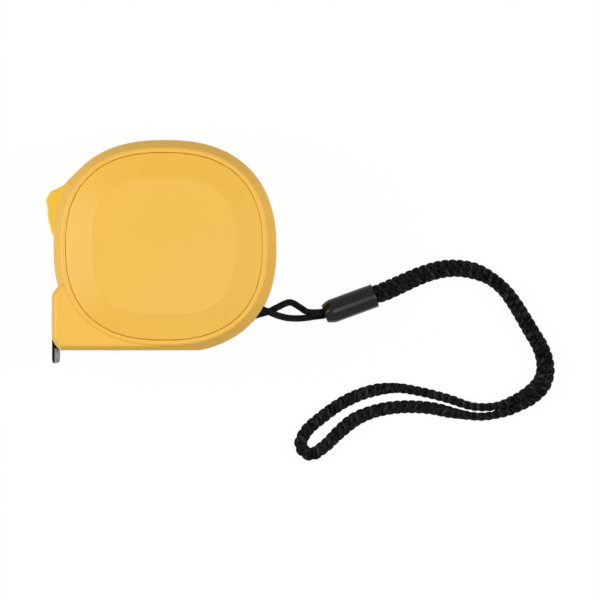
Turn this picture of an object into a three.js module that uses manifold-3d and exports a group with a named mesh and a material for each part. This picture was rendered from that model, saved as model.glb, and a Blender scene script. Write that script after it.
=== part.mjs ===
// A pocket tape measure with a thumb lock and a braided wrist strap, in millimetres, +Z up.
// The case lies on its back panel. The origin is on that panel, on the axis of the reel.
// +X runs from the nose to the strap, and +Y from the flat base to the top of the case.

import * as THREE from 'three';
import { mergeVertices } from 'three/addons/utils/BufferGeometryUtils.js';
import Module from 'manifold-3d';

// Clearances
const seatGap = 0.3;
const runningGap = 0.3;
const partingGap = 0.2;

// Blade
const bladeWidth = 19;
const bladeThickness = 0.2;
const bladeCup = 2.2;
const bladeSideRoom = 0.9;
const bladeLift = 4.8;
const bladeBendLength = 22;

// Reel, spring and wound tape
const arborRadius = 4.2;
const arborKey = 5;
const arborSlot = 1.3;
const springStart = 0.8;
const springThickness = 0.4;
const springPitch = 1.2;
const springTurns = 8;
const springStepsPerTurn = 16;
const hubWall = 1.5;
const hubLength = 4;
const webThickness = 1.6;
const coverThickness = 1.4;
const drumWall = 1.5;
const windingDepth = 7.6;
const looseTurnDepth = 0.8;

// Case
const wall = 2;
const sideRoom = 5.5;
const topRoom = 4.1;
const panelExponent = 2.45;
const rimWidth = 4.05;
const rimLand = 1.4;
const rimSlope = 4.1;
const rimFacets = [[0, 0], [0.47, 0.4], [0.83, 0.76], [1, 1]];
const baseTrim = 0.9;
const lipWidth = 0.8;
const lipHeight = 1;

// Face panels
const panelEdge = 2;
const panelRise = 1.8;
const panelLand = 4;
const panelRounding = 0.4;
const slopeWidth = 8.25;
const slopeHeight = 7.85;
const plateauExponent = 2.9;

// Nose and mouth
const noseReach = 0.4;
const noseStep = 0.4;
const noseSlopeWidth = 1.3;
const noseSlopeHeight = 2.1;
const noseHeight = 17.1;
const noseCornerRun = 2.9;
const noseCornerRise = 4;
const noseCornerSlack = 0.3;
const shoulderRun = 3;
const shoulderRise = 3.9;
const mouthSideRoom = 0.8;
const mouthHeadroom = 1.2;

// Hook, its rivets and its stop
const hookThickness = 0.8;
const hookWidth = 17;
const hookDrop = 4.15;
const hookCorner = 2.4;
const hookProud = 0.35;
const hookFloat = 1;
const tabLength = 9;
const tabThickness = 0.8;
const nailSlotWidth = 2.2;
const nailSlotLength = 1.6;
const notchWidth = 1.6;
const notchDepth = 1;
const rivetRadius = 0.8;
const rivetHeadRadius = 1.6;
const rivetHead = 0.5;
const rivetSetback = 3.4;
const rivetSpacing = 6.4;
const bumperThickness = 1.1;
const bumperWidth = 12;

// Lock
const lockHeight = 10;
const lockInset = 1;
const trackTilt = THREE.MathUtils.degToRad(15);
const trackDepth = 1.7;
const trackSideRoom = 0.6;
const lockTravel = 5;
const buttonWidth = 14;
const buttonUpper = 10.5;
const buttonLower = 6.9;
const buttonTipRise = 4.8;
const buttonEndFlat = 0.3;
const buttonRounding = 0.4;
const stemWidth = 4.4;
const stemLength = 4;
const stemOffset = 3;
const sliderThickness = 2;
const sliderWidth = 8;
const sliderLength = 12;
const armClearance = 1.3;
const armThickness = 2;
const footOffset = 1.4;
const padThickness = 1.2;
const padLength = 2.4;

// Screws
const screwAngles = [45, 125, 220, 298];
const screwRadius = 1.1;
const screwHeadRadius = 2;
const screwHead = 1.3;
const screwLength = 16;
const bossWall = 1.1;
const bossClearance = 0.8;

// Lanyard pin and cords
const lanyardAngle = THREE.MathUtils.degToRad(-37);
const pinRadius = 1.5;
const pinDepth = 3.7;
const pinEmbed = 2.5;
const pocketWidth = 8;
const loopDiameter = 1.8;
const loopRoom = 0.8;
const sleeveRadius = 3.8;
const sleeveLength = 17.1;
const sleeveTilt = THREE.MathUtils.degToRad(20.1);
const sleeveChamfer = 2.5;
const sleeveChamferDepth = 0.9;
const sleeveRecess = 1;
const sleeveMouth = 3.2;
const sleeveStart = new THREE.Vector2(49.2, -20.75);
const strapHeight = 3.6;
const strapThickness = 2.3;

// Smoothness of the round forms
const outlineSteps = 64;
const roundSteps = 32;
const fineSteps = 48;
const screwSteps = 14;
const cupSteps = 8;
const bendSteps = 10;
const loopSteps = 44;
const strapSteps = 80;

// Reel sizes, from the arbor outwards
const springInner = arborRadius + springStart;
const springOuter = springInner + springTurns * springPitch;
const drumInner = springOuter + springThickness / 2 + runningGap;
const drumRadius = drumInner + drumWall;
const rollInner = drumRadius + seatGap;
const rollRadius = rollInner + windingDepth;
const reelHalf = bladeWidth / 2;

// Case sizes, from the roll outwards
const panelHalfWidth = rollRadius + sideRoom;
const panelHalfHeight = rollRadius + topRoom;
const caseHalfWidth = panelHalfWidth + rimWidth;
const roomHalf = bladeWidth / 2 + bladeSideRoom;
const pocketFloor = roomHalf + wall;
const panelSeat = pocketFloor + seatGap;
const rimHalf = panelSeat + panelEdge;
const caseHalf = rimHalf + panelRise;
const noseHalf = rimHalf - noseStep;
const baseY = -(panelHalfHeight + rimWidth - baseTrim);
const roomBaseY = baseY + wall;
const noseX = -(caseHalfWidth + noseReach);
const noseTopY = baseY + noseHeight;

// Blade and hook places
const bladeY = baseY + bladeLift;
const rollExitY = -(rollRadius + seatGap);
const cupRadius = (bladeWidth ** 2 / 4 + bladeCup ** 2) / (2 * bladeCup);
const cupCentreY = bladeY + cupRadius;
const hookOuterX = noseX - hookProud;
const hookInnerX = hookOuterX + hookThickness;
const bladeEndX = hookInnerX + seatGap;
const recessX = hookInnerX + bumperThickness + 2 * seatGap;
const roomFrontX = recessX + wall;
const rivetX = hookInnerX + rivetSetback;
const tabInnerRadius = cupRadius + bladeThickness / 2 + seatGap;
const tabOuterRadius = tabInnerRadius + tabThickness;
const rivetFootRadius = tabOuterRadius + seatGap + rivetHead;
const mouthTopY = bladeY + bladeCup + mouthHeadroom;
const mouthBottomY = cupCentreY - rivetFootRadius - seatGap;
const mouthHalf = bladeWidth / 2 + mouthSideRoom;

// Lock places
const lockOrigin = new THREE.Vector3(-(caseHalfWidth - lockInset), lockHeight, 0);
const buttonUnder = trackDepth - seatGap;
const trackBack = trackDepth + wall;
const sliderFace = trackBack + runningGap;
const sliderBack = sliderFace + sliderThickness;
const armX = -(rollRadius + armClearance + armThickness / 2);
const footX = armX + footOffset;
const padContactY = cupCentreY - Math.sqrt(cupRadius ** 2 - sliderWidth ** 2 / 4) + bladeThickness / 2;
const padBottomY = padContactY + runningGap + lockTravel * Math.cos(trackTilt);
const armBottomY = padBottomY + padThickness + seatGap;

// Screw and lanyard places
const bossRadius = screwRadius + seatGap + bossWall;
const screwCircle = rollRadius + bossClearance + bossRadius;
const screwSeat = pocketFloor - screwHead - 2 * seatGap;
const loopRadius = loopDiameter / 2;
const wrapRadius = pinRadius + loopRadius + seatGap;
const pocketHalf = wrapRadius + loopRadius + loopRoom;
const pinReach = panelRadius(lanyardAngle) + rimWidth - pinDepth;
const pocketInner = pinReach - pocketHalf;

const wasm = await Module();
wasm.setup();

// Materials
function material(colour, roughness, metalness = 0) {
  return new THREE.MeshStandardMaterial({ color: colour, roughness, metalness });
}
const yellowPlastic = material(0xf4be52, 0.42);
const lemonPlastic = material(0xf9c852, 0.4);
const blackPlastic = material(0x1b1b1e, 0.45);
const blackRubber = material(0x161618, 0.8);
const whiteNylon = material(0xdfdcd2, 0.5);
const blackBraid = material(0x17171a, 0.9);
const steel = material(0x9a9aa2, 0.35, 1);
const darkSteel = material(0x3a3a40, 0.4, 1);
const springSteel = material(0x5f6470, 0.35, 1);
const yellowEnamel = material(0xf2cf3c, 0.35);

// Turns a closed three.js geometry into a solid with its faces pointing out.
function solid(geometry) {
  const bare = geometry.clone();
  bare.deleteAttribute('normal');
  bare.deleteAttribute('uv');
  const merged = mergeVertices(bare, 1e-4);
  const corners = merged.attributes.position.array;
  const index = merged.index.array;
  const faces = [];
  let volume = 0;
  const [a, b, c] = [new THREE.Vector3(), new THREE.Vector3(), new THREE.Vector3()];
  for (let i = 0; i < index.length; i += 3) {
    const [p, q, r] = [index[i], index[i + 1], index[i + 2]];
    if (p === q || q === r || r === p) continue;
    faces.push(p, q, r);
    a.fromArray(corners, 3 * p);
    b.fromArray(corners, 3 * q);
    c.fromArray(corners, 3 * r);
    volume += a.dot(b.cross(c));
  }
  if (volume < 0) faces.reverse();
  const vertProperties = new Float32Array(corners);
  const triVerts = new Uint32Array(faces);
  return new wasm.Manifold(new wasm.Mesh({ numProp: 3, vertProperties, triVerts }));
}

// Makes the named mesh of a finished solid.
function piece(name, body, surface) {
  const { vertProperties, triVerts } = body.getMesh();
  const geometry = new THREE.BufferGeometry();
  geometry.setAttribute('position', new THREE.BufferAttribute(vertProperties, 3));
  geometry.setIndex(new THREE.BufferAttribute(triVerts, 1));
  geometry.computeVertexNormals();
  const mesh = new THREE.Mesh(geometry, surface);
  mesh.name = name;
  return mesh;
}

// A box between two corners, given as x, y and z ranges.
function box([x0, x1], [y0, y1], [z0, z1]) {
  const geometry = new THREE.BoxGeometry(x1 - x0, y1 - y0, z1 - z0);
  return geometry.translate((x0 + x1) / 2, (y0 + y1) / 2, (z0 + z1) / 2);
}

// A prism along Z between two heights, with both rims rounded, or sloped in one step, where that is given.
function prism(shape, z0, z1, rounding = 0, roundingSteps = 3, roundingHeight = rounding) {
  const geometry = new THREE.ExtrudeGeometry(shape, {
    depth: z1 - z0 - 2 * roundingHeight,
    bevelEnabled: rounding > 0,
    bevelThickness: roundingHeight,
    bevelSize: rounding,
    bevelOffset: -rounding,
    bevelSegments: roundingSteps,
    curveSegments: 6,
  });
  return geometry.translate(0, 0, z0 + roundingHeight);
}

// A revolved profile of radius and height pairs about the Z axis.
function revolve(profile, steps) {
  const points = profile.map(([radius, height]) => new THREE.Vector2(radius, height));
  return new THREE.LatheGeometry(points, steps).rotateX(Math.PI / 2);
}

// A round rod along Z.
function rod(radius, z0, z1, steps = roundSteps) {
  return revolve([[0, z0], [radius, z0], [radius, z1], [0, z1]], steps);
}

// A closed sheet between two grids of points that face each other.
function sheet(outer, inner) {
  const rows = outer.length;
  const columns = outer[0].length;
  const positions = [...outer.flat(), ...inner.flat()].flatMap((point) => point.toArray());
  const at = (side, i, j) => side * rows * columns + i * columns + j;
  const faces = [];
  const quad = (a, b, c, d) => faces.push(a, b, c, a, c, d);
  for (let i = 0; i + 1 < rows; i += 1) {
    for (let j = 0; j + 1 < columns; j += 1) {
      quad(at(0, i, j), at(0, i + 1, j), at(0, i + 1, j + 1), at(0, i, j + 1));
      quad(at(1, i, j), at(1, i, j + 1), at(1, i + 1, j + 1), at(1, i + 1, j));
    }
    const last = columns - 1;
    quad(at(0, i, 0), at(1, i, 0), at(1, i + 1, 0), at(0, i + 1, 0));
    quad(at(0, i, last), at(0, i + 1, last), at(1, i + 1, last), at(1, i, last));
  }
  for (let j = 0; j + 1 < columns; j += 1) {
    const last = rows - 1;
    quad(at(0, 0, j), at(0, 0, j + 1), at(1, 0, j + 1), at(1, 0, j));
    quad(at(0, last, j), at(1, last, j), at(1, last, j + 1), at(0, last, j + 1));
  }
  const geometry = new THREE.BufferGeometry();
  geometry.setAttribute('position', new THREE.Float32BufferAttribute(positions, 3));
  geometry.setIndex(faces);
  return geometry;
}

// A skin through rings of equal count, closed at both ends by fans about the Z axis.
function loft(rings) {
  const count = rings[0].length;
  const positions = rings.flat().flatMap((point) => point.toArray());
  const first = rings.length * count;
  positions.push(0, 0, rings[0][0].z, 0, 0, rings[rings.length - 1][0].z);
  const faces = [];
  for (let j = 0; j < count; j += 1) {
    const next = (j + 1) % count;
    for (let i = 0; i + 1 < rings.length; i += 1) {
      const low = i * count;
      const high = low + count;
      faces.push(low + j, low + next, high + next, low + j, high + next, high + j);
    }
    const top = (rings.length - 1) * count;
    faces.push(first, next, j, first + 1, top + j, top + next);
  }
  const geometry = new THREE.BufferGeometry();
  geometry.setAttribute('position', new THREE.Float32BufferAttribute(positions, 3));
  geometry.setIndex(faces);
  return geometry;
}

// The points of a rounded square, a superellipse moved outwards by an offset.
function squircle(halfWidth, halfHeight, exponent, offset = 0) {
  const points = [];
  for (let i = 0; i < outlineSteps; i += 1) {
    const turn = (2 * Math.PI * i) / outlineSteps;
    const [c, s] = [Math.cos(turn), Math.sin(turn)];
    const x = halfWidth * Math.sign(c) * Math.abs(c) ** (2 / exponent);
    const y = halfHeight * Math.sign(s) * Math.abs(s) ** (2 / exponent);
    const normal = new THREE.Vector2(
      (Math.sign(x) * Math.abs(x / halfWidth) ** (exponent - 1)) / halfWidth,
      (Math.sign(y) * Math.abs(y / halfHeight) ** (exponent - 1)) / halfHeight,
    ).normalize();
    points.push(new THREE.Vector2(x, y).addScaledVector(normal, offset));
  }
  return points;
}

// The panel's outline, moved outwards by an offset, and the plateau's.
function panelOutline(offset) {
  return squircle(panelHalfWidth, panelHalfHeight, panelExponent, offset);
}
function plateauOutline(offset) {
  return squircle(panelHalfWidth - slopeWidth, panelHalfHeight - slopeHeight, plateauExponent, offset);
}
function panelPrism(offset, z0, z1) {
  return prism(new THREE.Shape(panelOutline(offset)), z0, z1);
}

// The distance from the reel's axis to the panel's edge in one direction.
function panelRadius(angle) {
  const across = (Math.abs(Math.cos(angle)) / panelHalfWidth) ** panelExponent;
  const up = (Math.abs(Math.sin(angle)) / panelHalfHeight) ** panelExponent;
  return (across + up) ** (-1 / panelExponent);
}

// Moves a geometry from the lock's own directions (outwards is -X, down the track is -Y) to the case.
function onTrack(geometry) {
  return geometry.rotateZ(-trackTilt).translate(lockOrigin.x, lockOrigin.y, lockOrigin.z);
}
function trackPoint(x, y) {
  const point = new THREE.Vector2(x, y).rotateAround(new THREE.Vector2(), -trackTilt);
  return [point.x + lockOrigin.x, point.y + lockOrigin.y];
}

// Moves a geometry from the lanyard's own directions (outwards is +X) to the rear corner.
function atLanyard(geometry) {
  return geometry.rotateZ(lanyardAngle);
}

// The nose's outline: a shoulder, a straight front, a lower corner cut back to show the hook, and the base.
function noseOutline() {
  const shape = new THREE.Shape();
  shape.moveTo(noseX + shoulderRun, noseTopY + shoulderRise);
  shape.lineTo(noseX, noseTopY);
  const [run, rise] = [noseCornerRun, noseCornerRise];
  const slack = noseCornerSlack;
  shape.lineTo(noseX, baseY + rise);
  shape.quadraticCurveTo(noseX + slack * run, baseY + slack * rise, noseX + run, baseY);
  shape.lineTo(0, baseY);
  shape.lineTo(0, noseTopY);
  shape.closePath();
  return shape;
}

// The rim's disc: a flat land round the panel, then steep facets out to the upright wall.
function rimBody() {
  const ring = (offset, z) => panelOutline(offset).map((point) => new THREE.Vector3(point.x, point.y, z));
  const profile = rimFacets.map(([across, down]) => [
    rimLand + across * (rimWidth - rimLand),
    rimHalf - down * rimSlope,
  ]);
  const lower = profile.map(([offset, z]) => ring(offset, -z));
  const upper = profile.map(([offset, z]) => ring(offset, z)).reverse();
  return loft([...lower, ...upper]);
}

// The outside of the whole case, before it is hollowed and split.
function caseBody() {
  const far = 2 * caseHalfWidth;
  const rim = solid(rimBody());
  const nose = solid(prism(noseOutline(), -noseHalf, noseHalf, noseSlopeWidth, 1, noseSlopeHeight));
  const belowBase = solid(box([-far, far], [-far, baseY], [-far, far]));
  return rim.add(nose).subtract(belowBase);
}

// The room for the reel and the blade, less the walls behind the lock and round the lanyard pin.
function caseRoom() {
  const far = 2 * caseHalfWidth;
  const belowRoom = solid(box([-far, far], [-far, roomBaseY], [-far, far]));
  const reelRoom = solid(panelPrism(rimWidth - wall, -roomHalf, roomHalf));
  const noseRoom = solid(box([roomFrontX, 0], [roomBaseY, noseTopY], [-roomHalf, roomHalf]));
  const trackWall = solid(onTrack(box(
    [-far, trackBack],
    [-(buttonLower + lockTravel), buttonUpper + wall],
    [-rimHalf, rimHalf],
  )));
  const pocketWall = solid(atLanyard(box(
    [pocketInner - wall, far],
    [-(pocketHalf + wall), pocketHalf + wall],
    [-rimHalf, rimHalf],
  )));
  return reelRoom.add(noseRoom).subtract(belowRoom).subtract(trackWall).subtract(pocketWall);
}

// The case hollowed out, with its bosses, mouth, lock track, lanyard pocket and panel pockets.
function hollowCase() {
  const far = 2 * caseHalfWidth;
  const slotHalf = stemWidth / 2 + seatGap;
  const keyHalf = arborKey / 2 + seatGap;
  let body = caseBody().subtract(caseRoom());
  for (const degrees of screwAngles) {
    const boss = rod(bossRadius, -pocketFloor, pocketFloor, screwSteps);
    body = body.add(solid(boss.translate(...screwPlace(degrees), 0)));
  }
  for (const degrees of screwAngles) {
    const hole = rod(screwRadius + seatGap, -pocketFloor, screwLength - screwSeat + seatGap, screwSteps);
    const head = rod(screwHeadRadius + seatGap, -caseHalf, -screwSeat, screwSteps);
    body = body.subtract(solid(hole.translate(...screwPlace(degrees), 0)));
    body = body.subtract(solid(head.translate(...screwPlace(degrees), 0)));
  }
  const cuts = [
    panelPrism(0, pocketFloor, caseHalf),
    panelPrism(0, -caseHalf, -pocketFloor),
    box([-keyHalf, keyHalf], [-keyHalf, keyHalf], [-caseHalf, caseHalf]),
    box([noseX - wall, recessX], [baseY - wall, mouthTopY], [-mouthHalf, mouthHalf]),
    box([noseX - wall, roomFrontX + wall], [mouthBottomY, mouthTopY], [-mouthHalf, mouthHalf]),
    onTrack(box(
      [-far / 2, trackDepth],
      [-(buttonLower + lockTravel + wall), buttonUpper + trackSideRoom],
      [-(buttonWidth / 2 + trackSideRoom), buttonWidth / 2 + trackSideRoom],
    )),
    onTrack(box(
      [0, trackBack + wall],
      [stemOffset - stemLength / 2 - lockTravel - seatGap, stemOffset + stemLength / 2 + seatGap],
      [-slotHalf, slotHalf],
    )),
    atLanyard(box([pocketInner, far], [-pocketHalf, pocketHalf], [-pocketWidth / 2, pocketWidth / 2])),
    atLanyard(rod(
      pinRadius + seatGap,
      -(pocketWidth / 2 + pinEmbed + seatGap),
      pocketWidth / 2 + pinEmbed + seatGap,
      screwSteps,
    ).translate(pinReach, 0, 0)),
  ];
  for (const cut of cuts) body = body.subtract(solid(cut));
  return body;
}

// The place of a screw, in the case's plane.
function screwPlace(degrees) {
  const angle = THREE.MathUtils.degToRad(degrees);
  return [screwCircle * Math.cos(angle), screwCircle * Math.sin(angle)];
}

// The two shells, split at mid thickness. A lip of the front one stands in a groove of the back one.
function shells() {
  const far = 2 * caseHalfWidth;
  const body = hollowCase();
  const lipInner = rimWidth - wall;
  const lipOuter = lipInner + lipWidth;
  const ring = solid(panelPrism(lipOuter, -lipHeight, wall))
    .subtract(solid(panelPrism(lipInner, -2 * lipHeight, 2 * wall)));
  const groove = solid(panelPrism(lipOuter + seatGap, -lipHeight - seatGap, wall))
    .subtract(solid(panelPrism(lipInner - seatGap, -2 * lipHeight - seatGap, 2 * wall)));
  const above = solid(box([-far, far], [-far, far], [partingGap / 2, far]));
  const below = solid(box([-far, far], [-far, far], [-far, -partingGap / 2]));
  const front = body.intersect(above).add(body.intersect(ring));
  const back = body.intersect(below).subtract(groove);
  return [piece('front_shell', front, yellowPlastic), piece('back_shell', back, yellowPlastic)];
}

// A face panel with an even wall, from the hollow inside it out to its raised plateau.
function panelBody() {
  const ring = (points, z) => points.map((point) => new THREE.Vector3(point.x, point.y, z));
  return loft([
    ring(plateauOutline(0), panelSeat + panelRise),
    ring(panelOutline(-panelLand), panelSeat),
    ring(panelOutline(-seatGap), panelSeat),
    ring(panelOutline(-seatGap), rimHalf - panelRounding),
    ring(panelOutline(-seatGap - panelRounding), rimHalf),
    ring(plateauOutline(0), caseHalf - panelRounding / 4),
    ring(plateauOutline(-panelRounding), caseHalf),
  ]);
}
function panels() {
  const front = piece('front_panel', solid(panelBody()), yellowPlastic);
  const back = piece('back_panel', solid(panelBody().rotateY(Math.PI)), yellowPlastic);
  return [front, back];
}

// A self-tapping screw with a cross recess, driven from the back.
function screws() {
  const tip = screwLength - screwSeat;
  const under = -screwSeat - seatGap;
  const top = under - screwHead;
  const recessHalf = screwHeadRadius * 0.55;
  const recessWidth = screwHeadRadius * 0.15;
  const recessTop = top + screwHead / 2;
  return screwAngles.map((degrees, i) => {
    const body = solid(revolve([
      [0, top],
      [screwHeadRadius * 0.8, top],
      [screwHeadRadius, top + screwHead / 2],
      [screwHeadRadius, under],
      [screwRadius, under],
      [screwRadius, tip - screwRadius],
      [0, tip],
    ], screwSteps));
    const across = solid(box([-recessHalf, recessHalf], [-recessWidth, recessWidth], [top - 1, recessTop]));
    const along = solid(box([-recessWidth, recessWidth], [-recessHalf, recessHalf], [top - 1, recessTop]));
    const mesh = piece(`case_screw_${i + 1}`, body.subtract(across).subtract(along), steel);
    mesh.position.set(...screwPlace(degrees), 0);
    return mesh;
  });
}

// The fixed post: round, keyed into both shells and slotted for the spring's inner end.
function springArbor() {
  const end = roomHalf - seatGap;
  const key = arborKey / 2;
  const post = solid(rod(arborRadius, -end, end, roundSteps));
  const keys = solid(box([-key, key], [-key, key], [-pocketFloor + seatGap, pocketFloor - seatGap]));
  const slot = solid(box([0, 2 * arborRadius], [-arborSlot / 2, arborSlot / 2], [-end + wall, springTop()]));
  return piece('spring_arbor', post.add(keys).subtract(slot), whiteNylon);
}
function springTop() {
  return reelHalf - hubLength - runningGap;
}

// The drum: a bearing hub, a web and the ring that the blade is wound on.
function reelDrum() {
  const bore = arborRadius + runningGap;
  const hub = bore + hubWall;
  return piece('reel_drum', solid(revolve([
    [bore, reelHalf],
    [bore, reelHalf - hubLength],
    [hub, reelHalf - hubLength],
    [hub, reelHalf - webThickness],
    [drumInner, reelHalf - webThickness],
    [drumInner, -reelHalf],
    [drumRadius, -reelHalf],
    [drumRadius, reelHalf],
    [bore, reelHalf],
  ], fineSteps)), blackPlastic);
}

// The disc that closes the drum over the spring.
function reelCover() {
  const bore = arborRadius + runningGap;
  const edge = drumInner - seatGap;
  return piece('reel_cover', solid(revolve([
    [bore, -reelHalf],
    [edge, -reelHalf],
    [edge, -reelHalf + coverThickness],
    [bore, -reelHalf + coverThickness],
    [bore, -reelHalf],
  ], fineSteps)), blackPlastic);
}

// A strip on edge, whose middle line is a list of points in the plane, between two heights.
function edgeStrip(line, thickness, z0, z1) {
  const outer = [];
  const inner = [];
  line.forEach((point, i) => {
    const before = line[Math.max(i - 1, 0)];
    const after = line[Math.min(i + 1, line.length - 1)];
    const along = new THREE.Vector2().subVectors(after, before).normalize();
    const side = new THREE.Vector2(along.y, -along.x).multiplyScalar(thickness / 2);
    outer.push([z0, z1].map((z) => new THREE.Vector3(point.x + side.x, point.y + side.y, z)));
    inner.push([z0, z1].map((z) => new THREE.Vector3(point.x - side.x, point.y - side.y, z)));
  });
  return sheet(outer, inner);
}

// The mainspring: a spiral from a tang in the arbor's slot out to the drum.
function mainspring() {
  const line = [new THREE.Vector2(arborRadius / 3, 0), new THREE.Vector2(arborRadius, 0)];
  const turnsOf = (turns) => {
    const radius = springInner + turns * springPitch;
    const angle = 2 * Math.PI * turns;
    return new THREE.Vector2(radius * Math.cos(angle), radius * Math.sin(angle));
  };
  const steps = springTurns * springStepsPerTurn;
  for (let i = 1; i <= steps; i += 1) line.push(turnsOf(i / springStepsPerTurn));
  let least = Infinity;
  for (let i = 2; i + springStepsPerTurn < line.length; i += 1) {
    least = Math.min(least, line[i].distanceTo(line[i + springStepsPerTurn]) - springThickness);
  }
  console.log(`mainspring: least gap between turns ${least.toFixed(2)} mm`);
  const bottom = -reelHalf + coverThickness + runningGap;
  const strip = edgeStrip(line, springThickness, bottom, springTop() - runningGap);
  return piece('mainspring', solid(strip), springSteel);
}

// The wound tape: a plain core, and the outer turn coming away from it towards the mouth.
function tapeRoll() {
  const core = rollRadius - looseTurnDepth;
  const body = solid(revolve([
    [rollInner, -reelHalf],
    [core, -reelHalf],
    [core, reelHalf],
    [rollInner, reelHalf],
    [rollInner, -reelHalf],
  ], fineSteps));
  const line = [];
  for (let i = 0; i <= roundSteps; i += 1) {
    const turn = i / roundSteps;
    const radius = rollRadius - bladeThickness / 2 - turn * looseTurnDepth;
    const angle = -Math.PI / 2 + 2 * Math.PI * turn * (1 - 1 / roundSteps);
    line.push(new THREE.Vector2(radius * Math.cos(angle), radius * Math.sin(angle)));
  }
  const turn = solid(edgeStrip(line, bladeThickness, -reelHalf, reelHalf));
  return piece('tape_roll', body.add(turn), yellowEnamel);
}

// The free end of the blade: flat where it leaves the roll, cupped at the mouth.
function bladeTongue() {
  const upper = [];
  const lower = [];
  const stations = [];
  for (let i = 0; i <= bendSteps; i += 1) stations.push((-bladeBendLength * i) / bendSteps);
  stations.push(bladeEndX);
  for (const x of stations) {
    const bend = THREE.MathUtils.smoothstep(-x, 0, bladeBendLength);
    const middle = THREE.MathUtils.lerp(rollExitY, bladeY, bend);
    const row = (shift) => {
      const points = [];
      for (let j = 0; j <= cupSteps; j += 1) {
        const z = bladeWidth * (j / cupSteps - 0.5);
        const rise = bend * (cupRadius - Math.sqrt(cupRadius ** 2 - z ** 2));
        points.push(new THREE.Vector3(x, middle + rise + shift, z));
      }
      return points;
    };
    upper.push(row(bladeThickness / 2));
    lower.push(row(-bladeThickness / 2));
  }
  let body = solid(sheet(upper, lower));
  for (const side of [-1, 1]) {
    const hole = rod(rivetRadius + seatGap, -cupRadius * 1.2, 0, screwSteps);
    body = body.subtract(solid(onBlade(hole, side)));
  }
  return piece('blade_tongue', body, yellowEnamel);
}

// Moves a geometry whose +Z points to the middle of the blade's cup to one rivet's place.
function onBlade(geometry, side) {
  const tilt = side * Math.asin(rivetSpacing / 2 / cupRadius);
  return geometry.rotateX(-Math.PI / 2).rotateX(-tilt).translate(rivetX, cupCentreY, 0);
}

// The hook: a curved tab under the blade, with slots that let it float, and a plate with a nail slot.
function endHook() {
  const half = Math.asin(hookWidth / 2 / tabOuterRadius);
  const arc = (radius) => {
    const points = [];
    for (let j = 0; j <= cupSteps; j += 1) {
      const angle = half * (2 * j / cupSteps - 1);
      points.push(new THREE.Vector2(radius * Math.sin(angle), cupCentreY - radius * Math.cos(angle)));
    }
    return points;
  };
  const alongX = (shape, x0, x1) => prism(shape, x0, x1).rotateY(Math.PI / 2);
  const bottom = baseY - hookDrop;
  const side = arc(tabOuterRadius)[cupSteps];
  const tab = new THREE.Shape([...arc(tabInnerRadius), ...arc(tabOuterRadius).reverse()]);
  const plate = new THREE.Shape(arc(tabInnerRadius));
  plate.lineTo(side.x, bottom + hookCorner);
  plate.absarc(side.x - hookCorner, bottom + hookCorner, hookCorner, 0, -Math.PI / 2, true);
  plate.absarc(-side.x + hookCorner, bottom + hookCorner, hookCorner, -Math.PI / 2, -Math.PI, true);
  plate.closePath();
  const nailY = baseY - seatGap / 2;
  const nail = box(
    [hookOuterX - wall, hookInnerX + wall],
    [nailY - nailSlotLength / 2, nailY + nailSlotLength / 2],
    [-nailSlotWidth / 2, nailSlotWidth / 2],
  );
  const notch = box(
    [hookOuterX - wall, hookInnerX + wall],
    [bottom - wall, bottom + notchDepth],
    [-notchWidth / 2, notchWidth / 2],
  );
  let body = solid(alongX(plate, hookOuterX, hookInnerX))
    .add(solid(alongX(tab, hookOuterX, hookInnerX + tabLength)))
    .subtract(solid(nail))
    .subtract(solid(notch));
  for (const way of [-1, 1]) {
    const slot = rivetRadius + seatGap;
    const cut = box([-slot, slot + hookFloat], [-slot, slot], [-cupRadius * 1.2, 0]);
    body = body.subtract(solid(onBlade(cut, way)));
  }
  return piece('end_hook', body, darkSteel);
}

// The rivets: a head in the blade's cup, a shank and a foot under the hook's tab.
function hookRivets() {
  const top = -(cupRadius - bladeThickness / 2 - seatGap);
  const foot = -(tabOuterRadius + seatGap);
  return [-1, 1].map((side, i) => {
    const body = revolve([
      [0, foot - rivetHead],
      [rivetHeadRadius, foot - rivetHead],
      [rivetHeadRadius, foot],
      [rivetRadius, foot],
      [rivetRadius, top],
      [rivetHeadRadius, top],
      [rivetHeadRadius * 0.7, top + rivetHead],
      [0, top + rivetHead],
    ], screwSteps);
    return piece(`hook_rivet_${i + 1}`, solid(onBlade(body, side)), steel);
  });
}

// The stop in the mouth that takes the hook's blow when the blade runs back.
function hookBumper() {
  const front = recessX - seatGap - bumperThickness;
  return piece('hook_bumper', solid(box(
    [front, recessX - seatGap],
    [baseY + seatGap, mouthBottomY - seatGap],
    [-bumperWidth / 2, bumperWidth / 2],
  )), blackRubber);
}

// The thumb button, a ramp with a hooked upper side, and the stem that goes in through the track.
function lockButton() {
  const tip = -buttonTipRise;
  const shape = new THREE.Shape();
  const end = buttonUnder - buttonEndFlat - 2 * buttonRounding;
  shape.moveTo(buttonUnder, -buttonLower);
  shape.lineTo(buttonUnder, buttonUpper);
  shape.lineTo(end, buttonUpper);
  shape.quadraticCurveTo(tip + 3.4, buttonUpper - 2.2, tip + 0.6, buttonUpper - 4.35);
  shape.quadraticCurveTo(tip + 0.15, buttonUpper - 5.6, tip, buttonUpper - 7.55);
  shape.quadraticCurveTo(tip + 1.5, 6.7 - buttonLower, tip + 3.2, 2.8 - buttonLower);
  shape.quadraticCurveTo(tip + 4.1, 0.7 - buttonLower, end, -buttonLower);
  const top = prism(shape, -buttonWidth / 2, buttonWidth / 2, buttonRounding);
  const stem = box(
    [buttonUnder - wall / 2, sliderBack],
    [stemOffset - stemLength / 2, stemOffset + stemLength / 2],
    [-stemWidth / 2, stemWidth / 2],
  );
  const mesh = piece('lock_button', solid(top).add(solid(stem)), lemonPlastic);
  mesh.position.copy(lockOrigin);
  mesh.rotation.z = -trackTilt;
  return mesh;
}

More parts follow.
